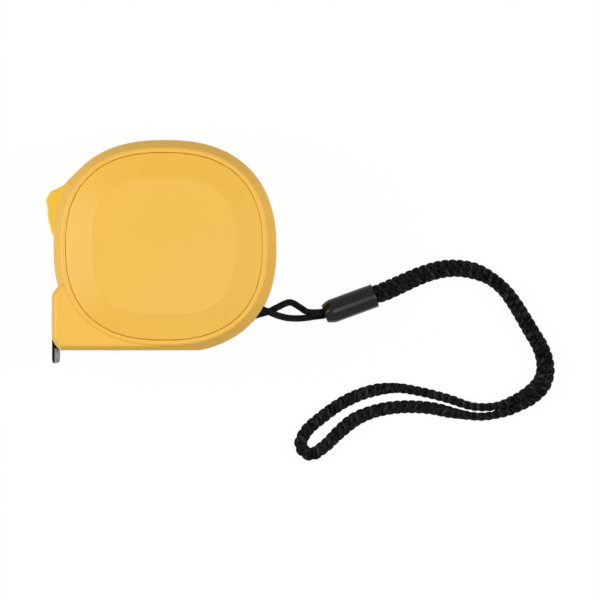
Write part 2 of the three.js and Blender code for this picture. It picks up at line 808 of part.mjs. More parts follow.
// The slider behind the track: a plate that the stem snaps into, and an arm down to the brake's foot.
function lockSlider() {
  const upper = stemOffset + sliderLength / 2;
  const lower = stemOffset - sliderLength / 2;
  const [armLeft, armRight] = [armX - armThickness / 2, armX + armThickness / 2];
  const footHalf = padLength / 2;
  const shape = new THREE.Shape();
  shape.moveTo(...trackPoint(sliderFace, upper));
  shape.lineTo(...trackPoint(sliderFace, lower));
  shape.lineTo(armLeft, trackPoint(sliderBack, lower - armThickness)[1]);
  shape.lineTo(armLeft, armBottomY + armThickness + footOffset);
  shape.lineTo(footX - footHalf, armBottomY + armThickness);
  shape.lineTo(footX - footHalf, armBottomY);
  shape.lineTo(footX + footHalf, armBottomY);
  shape.lineTo(footX + footHalf, armBottomY + armThickness);
  shape.lineTo(armRight, armBottomY + armThickness + footOffset);
  shape.lineTo(armRight, trackPoint(sliderBack, lower)[1]);
  shape.lineTo(...trackPoint(sliderBack, lower + armThickness));
  shape.lineTo(...trackPoint(sliderBack, upper));
  shape.closePath();
  const hole = onTrack(box(
    [0, sliderBack + wall],
    [stemOffset - stemLength / 2 - seatGap, stemOffset + stemLength / 2 + seatGap],
    [-(stemWidth / 2 + seatGap), stemWidth / 2 + seatGap],
  ));
  const body = solid(prism(shape, -sliderWidth / 2, sliderWidth / 2));
  return piece('lock_slider', body.subtract(solid(hole)), whiteNylon);
}

// The rubber foot that clamps the blade.
function brakePad() {
  return piece('brake_pad', solid(box(
    [footX - padLength / 2, footX + padLength / 2],
    [padBottomY, padBottomY + padThickness],
    [-sliderWidth / 2, sliderWidth / 2],
  )), blackRubber);
}

// The pin across the lanyard's pocket.
function lanyardPin() {
  const half = pocketWidth / 2 + pinEmbed;
  const pin = rod(pinRadius, -half, half, screwSteps).translate(pinReach, 0, 0);
  return piece('lanyard_pin', solid(atLanyard(pin)), steel);
}

// A cord's solid: an eight-sided section along a curve, upright height first.
function cordBody(points, height, thickness, steps) {
  const section = new THREE.Shape();
  for (let i = 0; i < 8; i += 1) {
    const turn = (Math.PI * (i + 0.5)) / 4;
    const reach = 0.5 / Math.cos(Math.PI / 8);
    const corner = [height * reach * Math.cos(turn), thickness * reach * Math.sin(turn)];
    if (i === 0) section.moveTo(...corner);
    else section.lineTo(...corner);
  }
  section.closePath();
  const route = new THREE.CatmullRomCurve3(points.map((point) => new THREE.Vector3(...point)));
  return solid(new THREE.ExtrudeGeometry(section, { steps, extrudePath: route, bevelEnabled: false }));
}

// The thin loop: from the sleeve to the case, once round the pin, and back, crossing itself.
function lanyardLoop() {
  const aroundPin = [];
  const pinX = pinReach * Math.cos(lanyardAngle);
  const pinY = pinReach * Math.sin(lanyardAngle);
  for (const degrees of [95, 140, 185, 230, 275, 320]) {
    const angle = lanyardAngle + THREE.MathUtils.degToRad(degrees);
    const rise = (207.5 - degrees) / 60;
    const x = pinX + wrapRadius * Math.cos(angle);
    const y = pinY + wrapRadius * Math.sin(angle);
    aroundPin.push([x, y, caseHalf + rise]);
  }
  const lower = [
    [48.8, -21.3, 2.9],
    [46.2, -21.6, 3],
    [42.7, -22.1, 4.4],
    [38.5, -22.1, 8],
    [35.1, -21.4, 12.4],
    [32.1, -20.2, 15.8],
    [29.5, -19.1, 17.1],
  ];
  const upper = [
    [28.1, -21, 14.2],
    [31.9, -19.9, 13.3],
    [34.3, -18.7, 12],
    [38.3, -17.1, 9.2],
    [41.3, -18.6, 7],
    [43.7, -20.1, 5.8],
    [46.2, -20.3, 5.1],
    [48.6, -20.1, 4.8],
  ];
  const body = cordBody([...lower, ...aroundPin, ...upper], loopDiameter, loopDiameter, loopSteps);
  return piece('lanyard_loop', body, blackBraid);
}

// The sleeve that the loop and the strap are fixed in.
function strapSleeve() {
  const recess = sleeveRecess;
  const body = revolve([
    [0, recess],
    [sleeveMouth - sleeveChamferDepth, recess],
    [sleeveMouth - sleeveChamferDepth, 0],
    [sleeveRadius - sleeveChamferDepth, 0],
    [sleeveRadius, sleeveChamfer],
    [sleeveRadius, sleeveLength],
    [sleeveMouth, sleeveLength],
    [sleeveMouth, sleeveLength - recess],
    [0, sleeveLength - recess],
  ], roundSteps);
  const mesh = piece('strap_sleeve', solid(body.rotateY(Math.PI / 2)), blackPlastic);
  mesh.position.set(sleeveStart.x, sleeveStart.y, sleeveRadius);
  mesh.rotation.z = sleeveTilt;
  return mesh;
}

// The wrist strap: out along the outer strand, round the free end, and back along the inner one.
function wristStrap() {
  const points = [
    [64.5, -13.5, 3.8],
    [67.8, -12.1, 3.2],
    [73.8, -9.5, 2.1],
    [79.9, -7, 1.9],
    [85.9, -5.2, 1.9],
    [91.6, -4.9, 1.9],
    [97.3, -5.9, 1.9],
    [102.7, -8.4, 1.9],
    [107.1, -12.1, 1.9],
    [110.3, -16.3, 1.9],
    [113.4, -21.2, 1.9],
    [116.1, -25.8, 1.9],
    [118.5, -30.3, 1.9],
    [120.2, -35, 1.9],
    [120.5, -39.5, 1.9],
    [119.1, -43.7, 1.9],
    [115.4, -47.4, 1.9],
    [110.7, -50.3, 1.9],
    [105.3, -52.4, 1.9],
    [98.9, -53.2, 1.9],
    [90.9, -52.2, 1.9],
    [82.9, -50.7, 1.9],
    [73.9, -50.3, 1.9],
    [65.8, -51.4, 1.9],
    [58.7, -54.1, 1.9],
    [52.9, -58.7, 1.9],
    [49.3, -62.7, 1.9],
    [44.9, -64.8, 1.9],
    [41.5, -62.3, 1.9],
    [42.8, -58.1, 1.9],
    [48, -53.3, 1.9],
    [55.4, -48.6, 1.9],
    [63.6, -45.4, 1.9],
    [71.9, -44.3, 1.9],
    [80.3, -45.6, 1.9],
    [88.5, -47.7, 1.9],
    [96.5, -49.9, 1.9],
    [104, -49.6, 1.9],
    [109.3, -47.8, 1.9],
    [113.5, -45.1, 1.9],
    [116.5, -42, 1.9],
    [117.6, -38.9, 1.9],
    [117.4, -35.6, 1.9],
    [116, -31.3, 1.9],
    [113.8, -27.1, 1.9],
    [111.2, -22.6, 1.9],
    [108.2, -17.7, 1.9],
    [105.3, -14, 1.9],
    [101.4, -10.7, 1.9],
    [96.5, -8.5, 1.9],
    [91.4, -7.7, 1.9],
    [86.5, -8.1, 1.9],
    [80.8, -9.7, 1.9],
    [74.9, -12, 2.1],
    [68.8, -14.7, 3.2],
    [65.5, -16.1, 3.8],
  ];
  return piece('wrist_strap', cordBody(points, strapHeight, strapThickness, strapSteps), blackBraid);
}

// The assembly: the case and its contents at mid thickness, and the strap on the ground.
const tapeMeasure = new THREE.Group();
const caseAssembly = new THREE.Group();
caseAssembly.position.z = caseHalf;
caseAssembly.add(
  ...shells(),
  ...panels(),
  ...screws(),
  springArbor(),
  reelDrum(),
  reelCover(),
  mainspring(),
  tapeRoll(),
  bladeTongue(),
  endHook(),
  ...hookRivets(),
  hookBumper(),
  lockButton(),
  lockSlider(),
  brakePad(),
  lanyardPin(),
);
tapeMeasure.add(caseAssembly, lanyardLoop(), strapSleeve(), wristStrap());

export default tapeMeasure;
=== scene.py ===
# A pocket tape measure with a yellow case and a black wrist strap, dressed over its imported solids.
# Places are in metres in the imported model's frame: +Z out of the front panel, the base towards -Y.
import math

import bmesh
import bpy
from mathutils import Matrix, Vector
from mathutils.geometry import interpolate_bezier


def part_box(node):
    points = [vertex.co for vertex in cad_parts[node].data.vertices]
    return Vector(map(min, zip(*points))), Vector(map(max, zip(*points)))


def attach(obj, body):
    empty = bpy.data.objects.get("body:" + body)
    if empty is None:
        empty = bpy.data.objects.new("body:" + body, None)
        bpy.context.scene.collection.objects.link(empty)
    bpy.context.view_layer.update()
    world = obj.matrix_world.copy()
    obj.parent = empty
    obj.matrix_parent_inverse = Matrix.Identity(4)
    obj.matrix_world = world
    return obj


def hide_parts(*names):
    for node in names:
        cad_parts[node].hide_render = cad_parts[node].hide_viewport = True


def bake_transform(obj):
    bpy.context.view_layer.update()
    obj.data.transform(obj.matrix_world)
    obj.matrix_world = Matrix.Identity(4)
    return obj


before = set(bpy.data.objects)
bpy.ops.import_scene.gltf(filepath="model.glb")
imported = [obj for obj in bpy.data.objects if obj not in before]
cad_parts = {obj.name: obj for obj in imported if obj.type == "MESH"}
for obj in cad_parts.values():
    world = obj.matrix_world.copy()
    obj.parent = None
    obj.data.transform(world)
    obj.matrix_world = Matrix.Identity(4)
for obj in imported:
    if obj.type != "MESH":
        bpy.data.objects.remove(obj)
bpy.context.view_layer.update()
mm = 0.001


# Camera
# It looks straight down on the lying tape measure from above the strap's side of the case.
# Its height gives the perspective in which the hook's inner face just shows.
camera_place = Vector((41.45, -16.36, 716.4)) * mm
camera_lens = 135.0
camera_film = 36.0
camera_near = 0.05


def linked(name, data):
    """A new object of the scene, at the origin."""
    item = bpy.data.objects.new(name, data)
    bpy.context.scene.collection.objects.link(item)
    return item


camera = linked("camera", bpy.data.cameras.new("camera"))
camera.data.lens = camera_lens
camera.data.sensor_width = camera_film
camera.data.clip_start = camera_near
camera.location = camera_place
bpy.context.scene.camera = camera
bpy.context.scene.view_settings.view_transform = "Standard"


# Floor
# A wide sheet of white paper under the tape measure. It shows as white, and still takes a soft shadow.
floor_half = 3.0
floor_drop = 0.2 * mm
floor_glow = 0.965
paper_shown = 0.95
paper_bounce = 0.3
white = (1, 1, 1, 1)


def add(tree, kind, sockets=None, **settings):
    """Places a node in a tree. A socket of another node is linked, and a value is set."""
    node = tree.nodes.new(kind)
    for name, value in settings.items():
        setattr(node, name, value)
    for key, value in (sockets or {}).items():
        if isinstance(value, bpy.types.NodeSocket):
            tree.links.new(value, node.inputs[key])
        else:
            node.inputs[key].default_value = value
    return node


def put(tree, kind, sockets=None, **settings):
    """Places a node in a tree, and returns its first output."""
    return add(tree, kind, sockets, **settings).outputs[0]


def calc(tree, operation, *values):
    """A sum on numbers, in a tree of shader or geometry nodes."""
    return put(tree, "ShaderNodeMath", dict(enumerate(values)), operation=operation)


def shown_mask(tree):
    """One where a camera, mirror or glass ray looks, and zero for the light that surfaces scatter."""
    path = add(tree, "ShaderNodeLightPath").outputs
    seen = calc(tree, "MAXIMUM", path["Is Camera Ray"], path["Is Glossy Ray"])
    return calc(tree, "MAXIMUM", seen, path["Is Transmission Ray"])


def bare_material(name):
    """A new material and its empty tree."""
    material = bpy.data.materials.new(name)
    material.use_nodes = True
    material.node_tree.nodes.clear()
    return material, material.node_tree


def paper_material():
    """White paper, which glows where it is looked at and scatters less light than it shows."""
    material, tree = bare_material("white_paper")
    tone = calc(tree, "MULTIPLY_ADD", shown_mask(tree), paper_shown - paper_bounce, paper_bounce)
    colour = put(tree, "ShaderNodeCombineColor", {0: tone, 1: tone, 2: tone})
    paper = put(tree, "ShaderNodeBsdfDiffuse", {"Color": colour})
    glow = put(tree, "ShaderNodeEmission", {"Color": white, "Strength": 1.0})
    share = calc(tree, "MULTIPLY", shown_mask(tree), floor_glow)
    mixed = put(tree, "ShaderNodeMixShader", {0: share, 1: paper, 2: glow})
    add(tree, "ShaderNodeOutputMaterial", {"Surface": mixed})
    return material


floor_mesh = bpy.data.meshes.new("floor")
floor_ways = ((-1, -1), (1, -1), (1, 1), (-1, 1))
floor_corners = [(x * floor_half, y * floor_half, -floor_drop) for x, y in floor_ways]
floor_mesh.from_pydata(floor_corners, [], [(0, 1, 2, 3)])
floor_mesh.materials.append(paper_material())
floor = linked("floor", floor_mesh)


# Light
# A room that is brighter overhead, a large soft box on the nose's side, a weaker one on the strap's side
# and a narrow strip of light overhead, which draws the streak along the sleeve.
room_low = 0.16
room_rise = 0.15
soft_boxes = {
    "left_box": {"place": (-0.85, 0.06, 0.65), "sides": (0.6, 0.6), "watts": 7.7},
    "right_box": {"place": (0.85, 0.03, 0.60), "sides": (0.5, 0.5), "watts": 5.5},
    "top_strip": {"place": (0.06, -0.2, 1.05), "sides": (0.2, 0.6), "watts": 1.25},
}

world = bpy.data.worlds.new("studio")
world.use_nodes = True
room_tree = world.node_tree
room_tree.nodes.clear()
room_way = add(room_tree, "ShaderNodeTexCoord").outputs["Generated"]
room_height = add(room_tree, "ShaderNodeSeparateXYZ", {0: room_way}).outputs["Z"]
room_height = calc(room_tree, "MAXIMUM", room_height, 0.0)
room_strength = calc(room_tree, "MULTIPLY_ADD", room_height, room_rise, room_low)
room_share = calc(room_tree, "MAXIMUM", shown_mask(room_tree), room_strength)
room_light = put(room_tree, "ShaderNodeBackground", {"Color": white, "Strength": room_share})
add(room_tree, "ShaderNodeOutputWorld", {"Surface": room_light})
bpy.context.scene.world = world

for box_name, soft_box in soft_boxes.items():
    lamp = linked(box_name, bpy.data.lights.new(box_name, "AREA"))
    lamp.data.shape = "RECTANGLE"
    lamp.data.size, lamp.data.size_y = soft_box["sides"]
    lamp.data.energy = soft_box["watts"]
    lamp.location = soft_box["place"]
    lamp.rotation_euler = (-Vector(soft_box["place"])).to_track_quat("-Z", "Y").to_euler()


# Lanyard loop
# A thin braided cord that goes from the sleeve into the case's rear corner, once round a steel pin and
# back, crossing itself outside the case. Eight fine yarns are plaited round it.
loop_diameter = 1.8 * mm
loop_steps = 8
case_middle = 16.5 * mm
pin_low, pin_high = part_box("lanyard_pin")
pin_place = (pin_low + pin_high) / 2
pin_radius = (pin_high.x - pin_low.x) / 2
pin_clearance = 0.3 * mm
loop_turn_radius = pin_radius + loop_diameter / 2 + pin_clearance
loop_turn_degrees = (95, 140, 185, 230, 275, 320)
loop_turn_middle = 207.5
degrees_each_millimetre = 60
lanyard_angle = math.radians(-37)
loop_to_case = [
    (50.3, -20.9, 3), (48.8, -21.3, 2.9), (46.2, -21.6, 3), (42.7, -22.1, 4.4), (38.5, -22.1, 8),
    (35.1, -21.4, 12.4), (32.1, -20.2, 15.8), (29.5, -19.1, 17.1),
]
loop_to_sleeve = [
    (28.1, -21, 14.2), (31.9, -19.9, 13.3), (34.3, -18.7, 12), (38.3, -17.1, 9.2), (41.3, -18.6, 7),
    (43.7, -20.1, 5.8), (46.2, -20.3, 5.1), (48.6, -20.1, 4.8), (50.1, -19.7, 4.6),
]


def in_metres(points):
    """Places in metres, from places in millimetres."""
    return [Vector(point) * mm for point in points]


def smooth_route(points, steps):
    """A smooth line through the points, centripetal, with a number of steps in each span."""
    ends = [2 * points[0] - points[1], *points, 2 * points[-1] - points[-2]]
    line = [points[0]]
    for before, start, end, after in zip(ends, ends[1:], ends[2:], ends[3:]):
        a = math.sqrt((start - before).length)
        b = math.sqrt((end - start).length)
        c = math.sqrt((after - end).length)
        leave = ((start - before) / a - (end - before) / (a + b) + (end - start) / b) * b
        arrive = ((end - start) / b - (after - start) / (b + c) + (after - end) / c) * b
        line += interpolate_bezier(start, start + leave / 3, end - arrive / 3, end, steps + 1)[1:]
    return line


def vector_calc(tree, operation, first, second=(0, 0, 0)):
    """A sum on vectors. Scaling takes a vector and a number."""
    keys = (0, 3) if operation == "SCALE" else (0, 1)
    return put(tree, "ShaderNodeVectorMath", dict(zip(keys, (first, second))), operation=operation)


def new_tree(name, kind, inputs, outputs):
    """A node group with named sockets, given by kind. It returns the tree and its input sockets."""
    tree = bpy.data.node_groups.new(name, kind)
    for way, kinds in (("INPUT", inputs), ("OUTPUT", outputs)):
        for socket_kind, names in kinds.items():
            for socket_name in names:
                tree.interface.new_socket(socket_name, in_out=way, socket_type="NodeSocket" + socket_kind)
    entry = tree.nodes.new("NodeGroupInput")
    return tree, {socket.name: socket for socket in entry.outputs if socket.name}


def swept(tree, line, section):
    """A closed skin that carries a section along a curve."""
    sockets = {"Curve": line, "Profile Curve": section, "Fill Caps": True}
    return put(tree, "GeometryNodeCurveToMesh", sockets)


def given_out(tree, shape, material):
    """Ends a geometry tree: its shape is made real and gets its material."""
    real = put(tree, "GeometryNodeRealizeInstances", {"Geometry": shape})
    dressed = put(tree, "GeometryNodeSetMaterial", {"Geometry": real, "Material": material})
    add(tree, "NodeGroupOutput", {0: dressed})
    return tree


def braid_tree():
    """Yarns plaited over and under each other along a curve, round a core of oval section.

    The radius of the curve widens the side that shows from above: the thickness where the braid stands
    on edge, and the height where it lies flat.
    """
    yarn_sides = 8
    core_sides = 10
    floats = [
        "Half Height", "Half Thickness", "Pitch", "Lift", "Yarn Width", "Yarn Thickness", "Core", "Step",
    ]
    tree, given = new_tree(
        "braid",
        "GeometryNodeTree",
        {"Geometry": ["Path"], "Float": floats, "Int": ["Yarns Each Way"], "Material": ["Yarn Material"]},
        {"Geometry": ["Braid"]},
    )
    each_way = given["Yarns Each Way"]
    stations = {"Curve": given["Path"], "Length": given["Step"]}
    path = put(tree, "GeometryNodeResampleCurve", stations, mode="LENGTH")
    strands = {"Geometry": path, "Amount": calc(tree, "MULTIPLY", each_way, 2.0)}
    copies = add(tree, "GeometryNodeDuplicateElements", strands, domain="SPLINE").outputs
    hand = calc(tree, "MULTIPLY_ADD", calc(tree, "MODULO", copies["Duplicate Index"], 2.0), -2.0, 1.0)
    yarn = calc(tree, "FLOOR", calc(tree, "DIVIDE", copies["Duplicate Index"], 2.0))
    along = add(tree, "GeometryNodeSplineParameter").outputs["Length"]
    winding = calc(tree, "MULTIPLY", calc(tree, "DIVIDE", along, given["Pitch"]), math.tau)
    start = calc(tree, "MULTIPLY", calc(tree, "DIVIDE", yarn, each_way), math.tau)
    angle = calc(tree, "MULTIPLY_ADD", hand, winding, start)
    cross = calc(tree, "COSINE", calc(tree, "MULTIPLY", winding, each_way))
    wave = calc(tree, "MULTIPLY", calc(tree, "MULTIPLY", hand, cross), given["Lift"])

    girth = calc(tree, "SUBTRACT", put(tree, "GeometryNodeInputRadius"), 1.0)
    flatness = calc(tree, "SINE", put(tree, "GeometryNodeInputCurveTilt"))
    broader = calc(tree, "MULTIPLY_ADD", girth, flatness, 1.0)
    thicker = calc(tree, "MULTIPLY_ADD", girth, calc(tree, "SUBTRACT", 1.0, flatness), 1.0)
    half_height = calc(tree, "MULTIPLY", given["Half Height"], broader)
    half_thickness = calc(tree, "MULTIPLY", given["Half Thickness"], thicker)
    side = put(tree, "GeometryNodeInputNormal")
    up = vector_calc(tree, "CROSS_PRODUCT", side, put(tree, "GeometryNodeInputTangent"))
    up_share = calc(tree, "COSINE", angle)
    side_share = calc(tree, "SINE", angle)

    def off_middle(operation):
        """The way off the middle, with its shares multiplied or divided by the half sizes."""
        rise = vector_calc(tree, "SCALE", up, calc(tree, operation, up_share, half_height))
        reach = vector_calc(tree, "SCALE", side, calc(tree, operation, side_share, half_thickness))
        return vector_calc(tree, "ADD", rise, reach)

    def marked(shape, name, value):
        """A curve that keeps a value at each of its points, for the material."""
        sockets = {"Geometry": shape, "Name": name, "Value": value}
        return put(tree, "GeometryNodeStoreNamedAttribute", sockets)

    def oval(sides, radius, thickness, height):
        """A closed oval section."""
        ring = put(tree, "GeometryNodeCurvePrimitiveCircle", {"Resolution": sides, "Radius": radius})
        size = put(tree, "ShaderNodeCombineXYZ", {"X": thickness, "Y": height, "Z": 1.0})
        return put(tree, "GeometryNodeTransform", {"Geometry": ring, "Scale": size})

    outward = vector_calc(tree, "NORMALIZE", off_middle("DIVIDE"))
    offset = vector_calc(tree, "ADD", off_middle("MULTIPLY"), vector_calc(tree, "SCALE", outward, wave))
    kept = add(tree, "GeometryNodeCaptureAttribute", {"Geometry": copies["Geometry"]})
    kept.capture_items.new("VECTOR", "Outward")
    tree.links.new(outward, kept.inputs["Outward"])
    yarns = marked(kept.outputs["Geometry"], "along", along)
    yarns = put(tree, "GeometryNodeSetPosition", {"Geometry": yarns, "Offset": offset})
    yarns = put(tree, "GeometryNodeSetCurveRadius", {"Curve": yarns, "Radius": 1.0})
    yarns = put(tree, "GeometryNodeSetCurveTilt", {"Curve": yarns, "Tilt": 0.0})
    facing = {"Curve": yarns, "Normal": kept.outputs["Outward"]}
    yarns = put(tree, "GeometryNodeSetCurveNormal", facing, mode="FREE")
    yarn_section = oval(yarn_sides, 0.5, given["Yarn Thickness"], given["Yarn Width"])
    round_share = add(tree, "GeometryNodeSplineParameter").outputs["Factor"]
    skin = swept(tree, yarns, marked(yarn_section, "round", round_share))
    core_section = oval(core_sides, given["Core"], given["Half Thickness"], given["Half Height"])
    whole = add(tree, "GeometryNodeJoinGeometry")
    for part in (swept(tree, path, core_section), skin):
        tree.links.new(part, whole.inputs[0])
    smooth = put(tree, "GeometryNodeSetShadeSmooth", {"Geometry": whole.outputs[0]})
    return given_out(tree, smooth, given["Yarn Material"])


def baked(name, source, *helpers):
    """The plain mesh that an object's modifiers give. The object and its helpers are removed."""
    evaluated = source.evaluated_get(bpy.context.evaluated_depsgraph_get())
    mesh = bpy.data.meshes.new_from_object(evaluated)
    mesh.name = name
    for used in (source, *helpers):
        bpy.data.objects.remove(used)
    return mesh


def made_by_nodes(name, source, tree, values):
    """Runs a geometry node tree on an object, and returns the result as a plain mesh."""
    modifier = source.modifiers.new("maker", "NODES")
    modifier.node_group = tree
    for item in tree.interface.items_tree:
        if item.item_type == "SOCKET" and item.in_out == "INPUT" and item.name in values:
            modifier[item.identifier] = values[item.name]
    return baked(name, source)


def braided(name, line, rolls, girths, sizes):
    """A braid along a line, with the roll and the girth of its section at each point."""
    curve = bpy.data.curves.new("path", "CURVE")
    curve.dimensions = "3D"
    curve.twist_mode = "Z_UP"
    spline = curve.splines.new("POLY")
    spline.points.add(len(line) - 1)
    for point, place, roll, girth in zip(spline.points, line, rolls, girths):
        point.co = (*place, 1)
        point.tilt = roll
        point.radius = girth
    values = {**sizes, "Yarn Material": black_yarn}
    return linked(name, made_by_nodes(name, linked("path", curve), braid, values))


def principled(name, **sockets):
    """A material with one Principled shader. It returns the material, its tree and the shader."""
    material, tree = bare_material(name)
    shader = add(tree, "ShaderNodeBsdfPrincipled", {key.replace("_", " "): sockets[key] for key in sockets})
    add(tree, "ShaderNodeOutputMaterial", {"Surface": shader.outputs[0]})
    return material, tree, shader


def mix_colour(tree, share, first, second):
    """A colour between two others, which are links or triples."""
    full = [(*colour, 1) if isinstance(colour, tuple) else colour for colour in (first, second)]
    return add(tree, "ShaderNodeMix", {0: share, 6: full[0], 7: full[1]}, data_type="RGBA").outputs[2]


def noise(tree, place, scale, detail, roughness=0.5):
    """A soft random pattern."""
    sockets = {"Vector": place, "Scale": scale, "Detail": detail, "Roughness": roughness}
    return put(tree, "ShaderNodeTexNoise", sockets)


def stored(tree, name):
    """A value that the mesh keeps at each of its points."""
    return add(tree, "ShaderNodeAttribute", attribute_name=name).outputs["Fac"]


def surface(tree, shader, height, strength, depth, links):
    """Gives a shader its bump and what else changes over the surface."""
    bump = put(tree, "ShaderNodeBump", {"Height": height, "Strength": strength, "Distance": depth})
    for name, value in {**links, "Normal": bump}.items():
        tree.links.new(value, shader.inputs[name])


def yarn_material():
    """Black polyester yarn of fine filaments; painted shade in its gaps, painted highlights on its crowns.
    """
    filaments_round = 14.0
    filament_run = 420.0
    highlight_contrast = 6.2
    highlight_threshold = -2.75
    rough_low = 0.42
    rough_spread = 0.3
    filament_depth = 0.1 * mm
    painted_gap_shade = (0.0006, 0.0006, 0.0009)
    painted_crown_highlight = (0.04, 0.04, 0.045)
    material, tree, shader = principled("black_yarn", Sheen_Weight=0.002, Specular_IOR_Level=0.02)
    around = stored(tree, "round")
    across = calc(tree, "MULTIPLY", around, filaments_round)
    along = calc(tree, "MULTIPLY", stored(tree, "along"), filament_run)
    streaks = noise(tree, put(tree, "ShaderNodeCombineXYZ", {"X": across, "Y": along}), 1.0, 3.0, 0.6)
    # Painted light: streaks on the yarns' crowns are painted highlights, the dark flanks painted shade.
    crown_share = calc(tree, "ABSOLUTE", calc(tree, "COSINE", calc(tree, "MULTIPLY", around, math.tau)))
    spread = calc(tree, "MULTIPLY_ADD", streaks, highlight_contrast, highlight_threshold)
    painted_highlight = calc(tree, "MULTIPLY", calc(tree, "MAXIMUM", spread, 0.0), crown_share)
    colour = mix_colour(tree, painted_highlight, painted_gap_shade, painted_crown_highlight)
    rough = calc(tree, "MULTIPLY_ADD", streaks, rough_spread, rough_low)
    surface(tree, shader, streaks, 0.5, filament_depth, {"Base Color": colour, "Roughness": rough})
    return material


loop_round_pin = []
for degrees in loop_turn_degrees:
    turn = lanyard_angle + math.radians(degrees)
    rise = (loop_turn_middle - degrees) / degrees_each_millimetre * mm
    off_pin = Vector((math.cos(turn), math.sin(turn), 0)) * loop_turn_radius
    loop_round_pin.append(Vector((pin_place.x, pin_place.y, case_middle + rise)) + off_pin)
loop_points = [*in_metres(loop_to_case), *loop_round_pin, *in_metres(loop_to_sleeve)]
loop_line = smooth_route(loop_points, loop_steps)
braid = braid_tree()
black_yarn = yarn_material()
lanyard_cord = braided(
    "lanyard_cord",
    loop_line,
    [0.0] * len(loop_line),
    [1.0] * len(loop_line),
    {
        "Half Height": 0.84 * mm,
        "Half Thickness": 0.84 * mm,
        "Yarns Each Way": 4,
        "Pitch": 3.2 * mm,
        "Lift": 0.1 * mm,
        "Yarn Width": 0.7 * mm,
        "Yarn Thickness": 0.3 * mm,
        "Core": 0.85,
        "Step": 0.13 * mm,
    },
)
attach(lanyard_cord, "case")
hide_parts("lanyard_loop")


# Strap sleeve
# A turned sleeve of black plastic, with a soft chamfer towards the loop. The loop's two strands are glued
# into its narrow end, and the strap's into its wide one.
sleeve_tilt = math.radians(20.1)
sleeve_start = Vector((49.2, -20.75, 3.8)) * mm
sleeve_sides = 72
sleeve_profile = [
    (2.2, 3.0), (2.2, 0.25), (2.35, 0.06), (2.5, 0.0), (2.72, 0.0), (2.88, 0.06), (3.0, 0.2), (3.29, 0.95),
    (3.51, 1.55), (3.65, 2.0), (3.745, 2.45), (3.787, 2.9), (3.8, 3.4), (3.8, 16.6), (3.76, 16.86),
    (3.65, 17.03), (3.5, 17.1), (3.3, 17.1), (3.2, 17.0), (3.16, 16.8), (3.16, 13.0),
]
along_x = Matrix.Rotation(math.pi / 2, 4, "Y")


def ring_mesh(name, rings):
    """A skin through closed rings of equal count, with a face across each end."""
    count = len(rings[0])
    points = [point for ring in rings for point in ring]
    faces = []
    for low in range(0, len(points) - count, count):
        for j in range(count):
            k = (j + 1) % count
            faces.append((low + j, low + k, low + count + k, low + count + j))
    faces.append(tuple(reversed(range(count))))
    faces.append(tuple(range(len(points) - count, len(points))))
    mesh = bpy.data.meshes.new(name)
    mesh.from_pydata(points, [], faces)
    shape = bmesh.new()
    shape.from_mesh(mesh)
    bmesh.ops.recalc_face_normals(shape, faces=shape.faces)
    shape.to_mesh(mesh)
    shape.free()
    return mesh


def lathed(name, profile, steps):
    """A solid turned about the Z axis, from pairs of radius and height."""
    turns = [math.tau * j / steps for j in range(steps)]
    rings = []
    for radius, height in profile:
        rings.append([Vector((radius * math.cos(t), radius * math.sin(t), height)) for t in turns])
    return ring_mesh(name, rings)


def finished(mesh, material, crease=32):
    """The object of a finished mesh: one material, and smooth apart from its creases."""
    mesh.materials.clear()
    mesh.materials.append(material)
    mesh.shade_smooth()
    mesh.set_sharp_from_angle(angle=math.radians(crease))
    piece = linked(mesh.name, mesh)
    even = piece.modifiers.new("even_light", "WEIGHTED_NORMAL")
    even.keep_sharp = True
    even.weight = 100
    return piece


def grain_group():
    """The fine spark-eroded grain of a mould, and the faint cloudiness of the plastic."""
    speckle_share = 0.31
    tree, given = new_tree(
        "moulded_grain",
        "ShaderNodeTree",
        {"Float": ["Grain Scale", "Cloud Scale"]},
        {"Float": ["Height", "Cloud", "Speckle"]},
    )
    place = add(tree, "ShaderNodeTexCoord").outputs["Object"]
    speckle_scale = calc(tree, "MULTIPLY", given["Grain Scale"], speckle_share)
    masks = {
        "Height": noise(tree, place, given["Grain Scale"], 2.0),
        "Cloud": noise(tree, place, given["Cloud Scale"], 3.0),
        "Speckle": noise(tree, place, speckle_scale, 1.0),
    }
    add(tree, "NodeGroupOutput", masks)
    return tree


moulded_grain = grain_group()


def grain_masks(tree, grain_scale, cloud_scale):
    """The masks of the grain, for one material."""
    sockets = {"Grain Scale": grain_scale, "Cloud Scale": cloud_scale}
    return add(tree, "ShaderNodeGroup", sockets, node_tree=moulded_grain).outputs


def plastic(name, dark, light, roughness, grain_depth, grain_scale=5200.0, shine=0.5):
    """A moulded plastic with two close shades, a fine grain and a roughness that varies a little."""
    cloud_scale = 55.0
    spread = 0.08
    material, tree, shader = principled(name, Specular_IOR_Level=shine)
    grain = grain_masks(tree, grain_scale, cloud_scale)
    colour = mix_colour(tree, grain["Cloud"], dark, light)
    rough = calc(tree, "MULTIPLY_ADD", grain["Speckle"], spread, roughness - spread / 2)
    surface(tree, shader, grain["Height"], 1.0, grain_depth, {"Base Color": colour, "Roughness": rough})
    return material


black_plastic = plastic(
    "black_plastic", (0.002, 0.0018, 0.0022), (0.0035, 0.0032, 0.0038), 0.18, 0.001 * mm, shine=0.26
)
sleeve_mesh = lathed("sleeve", in_metres(sleeve_profile), sleeve_sides)
sleeve_mesh.transform(Matrix.Translation(sleeve_start) @ Matrix.Rotation(sleeve_tilt, 4, "Z") @ along_x)
sleeve = finished(sleeve_mesh, black_plastic)
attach(sleeve, "case")
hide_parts("strap_sleeve")


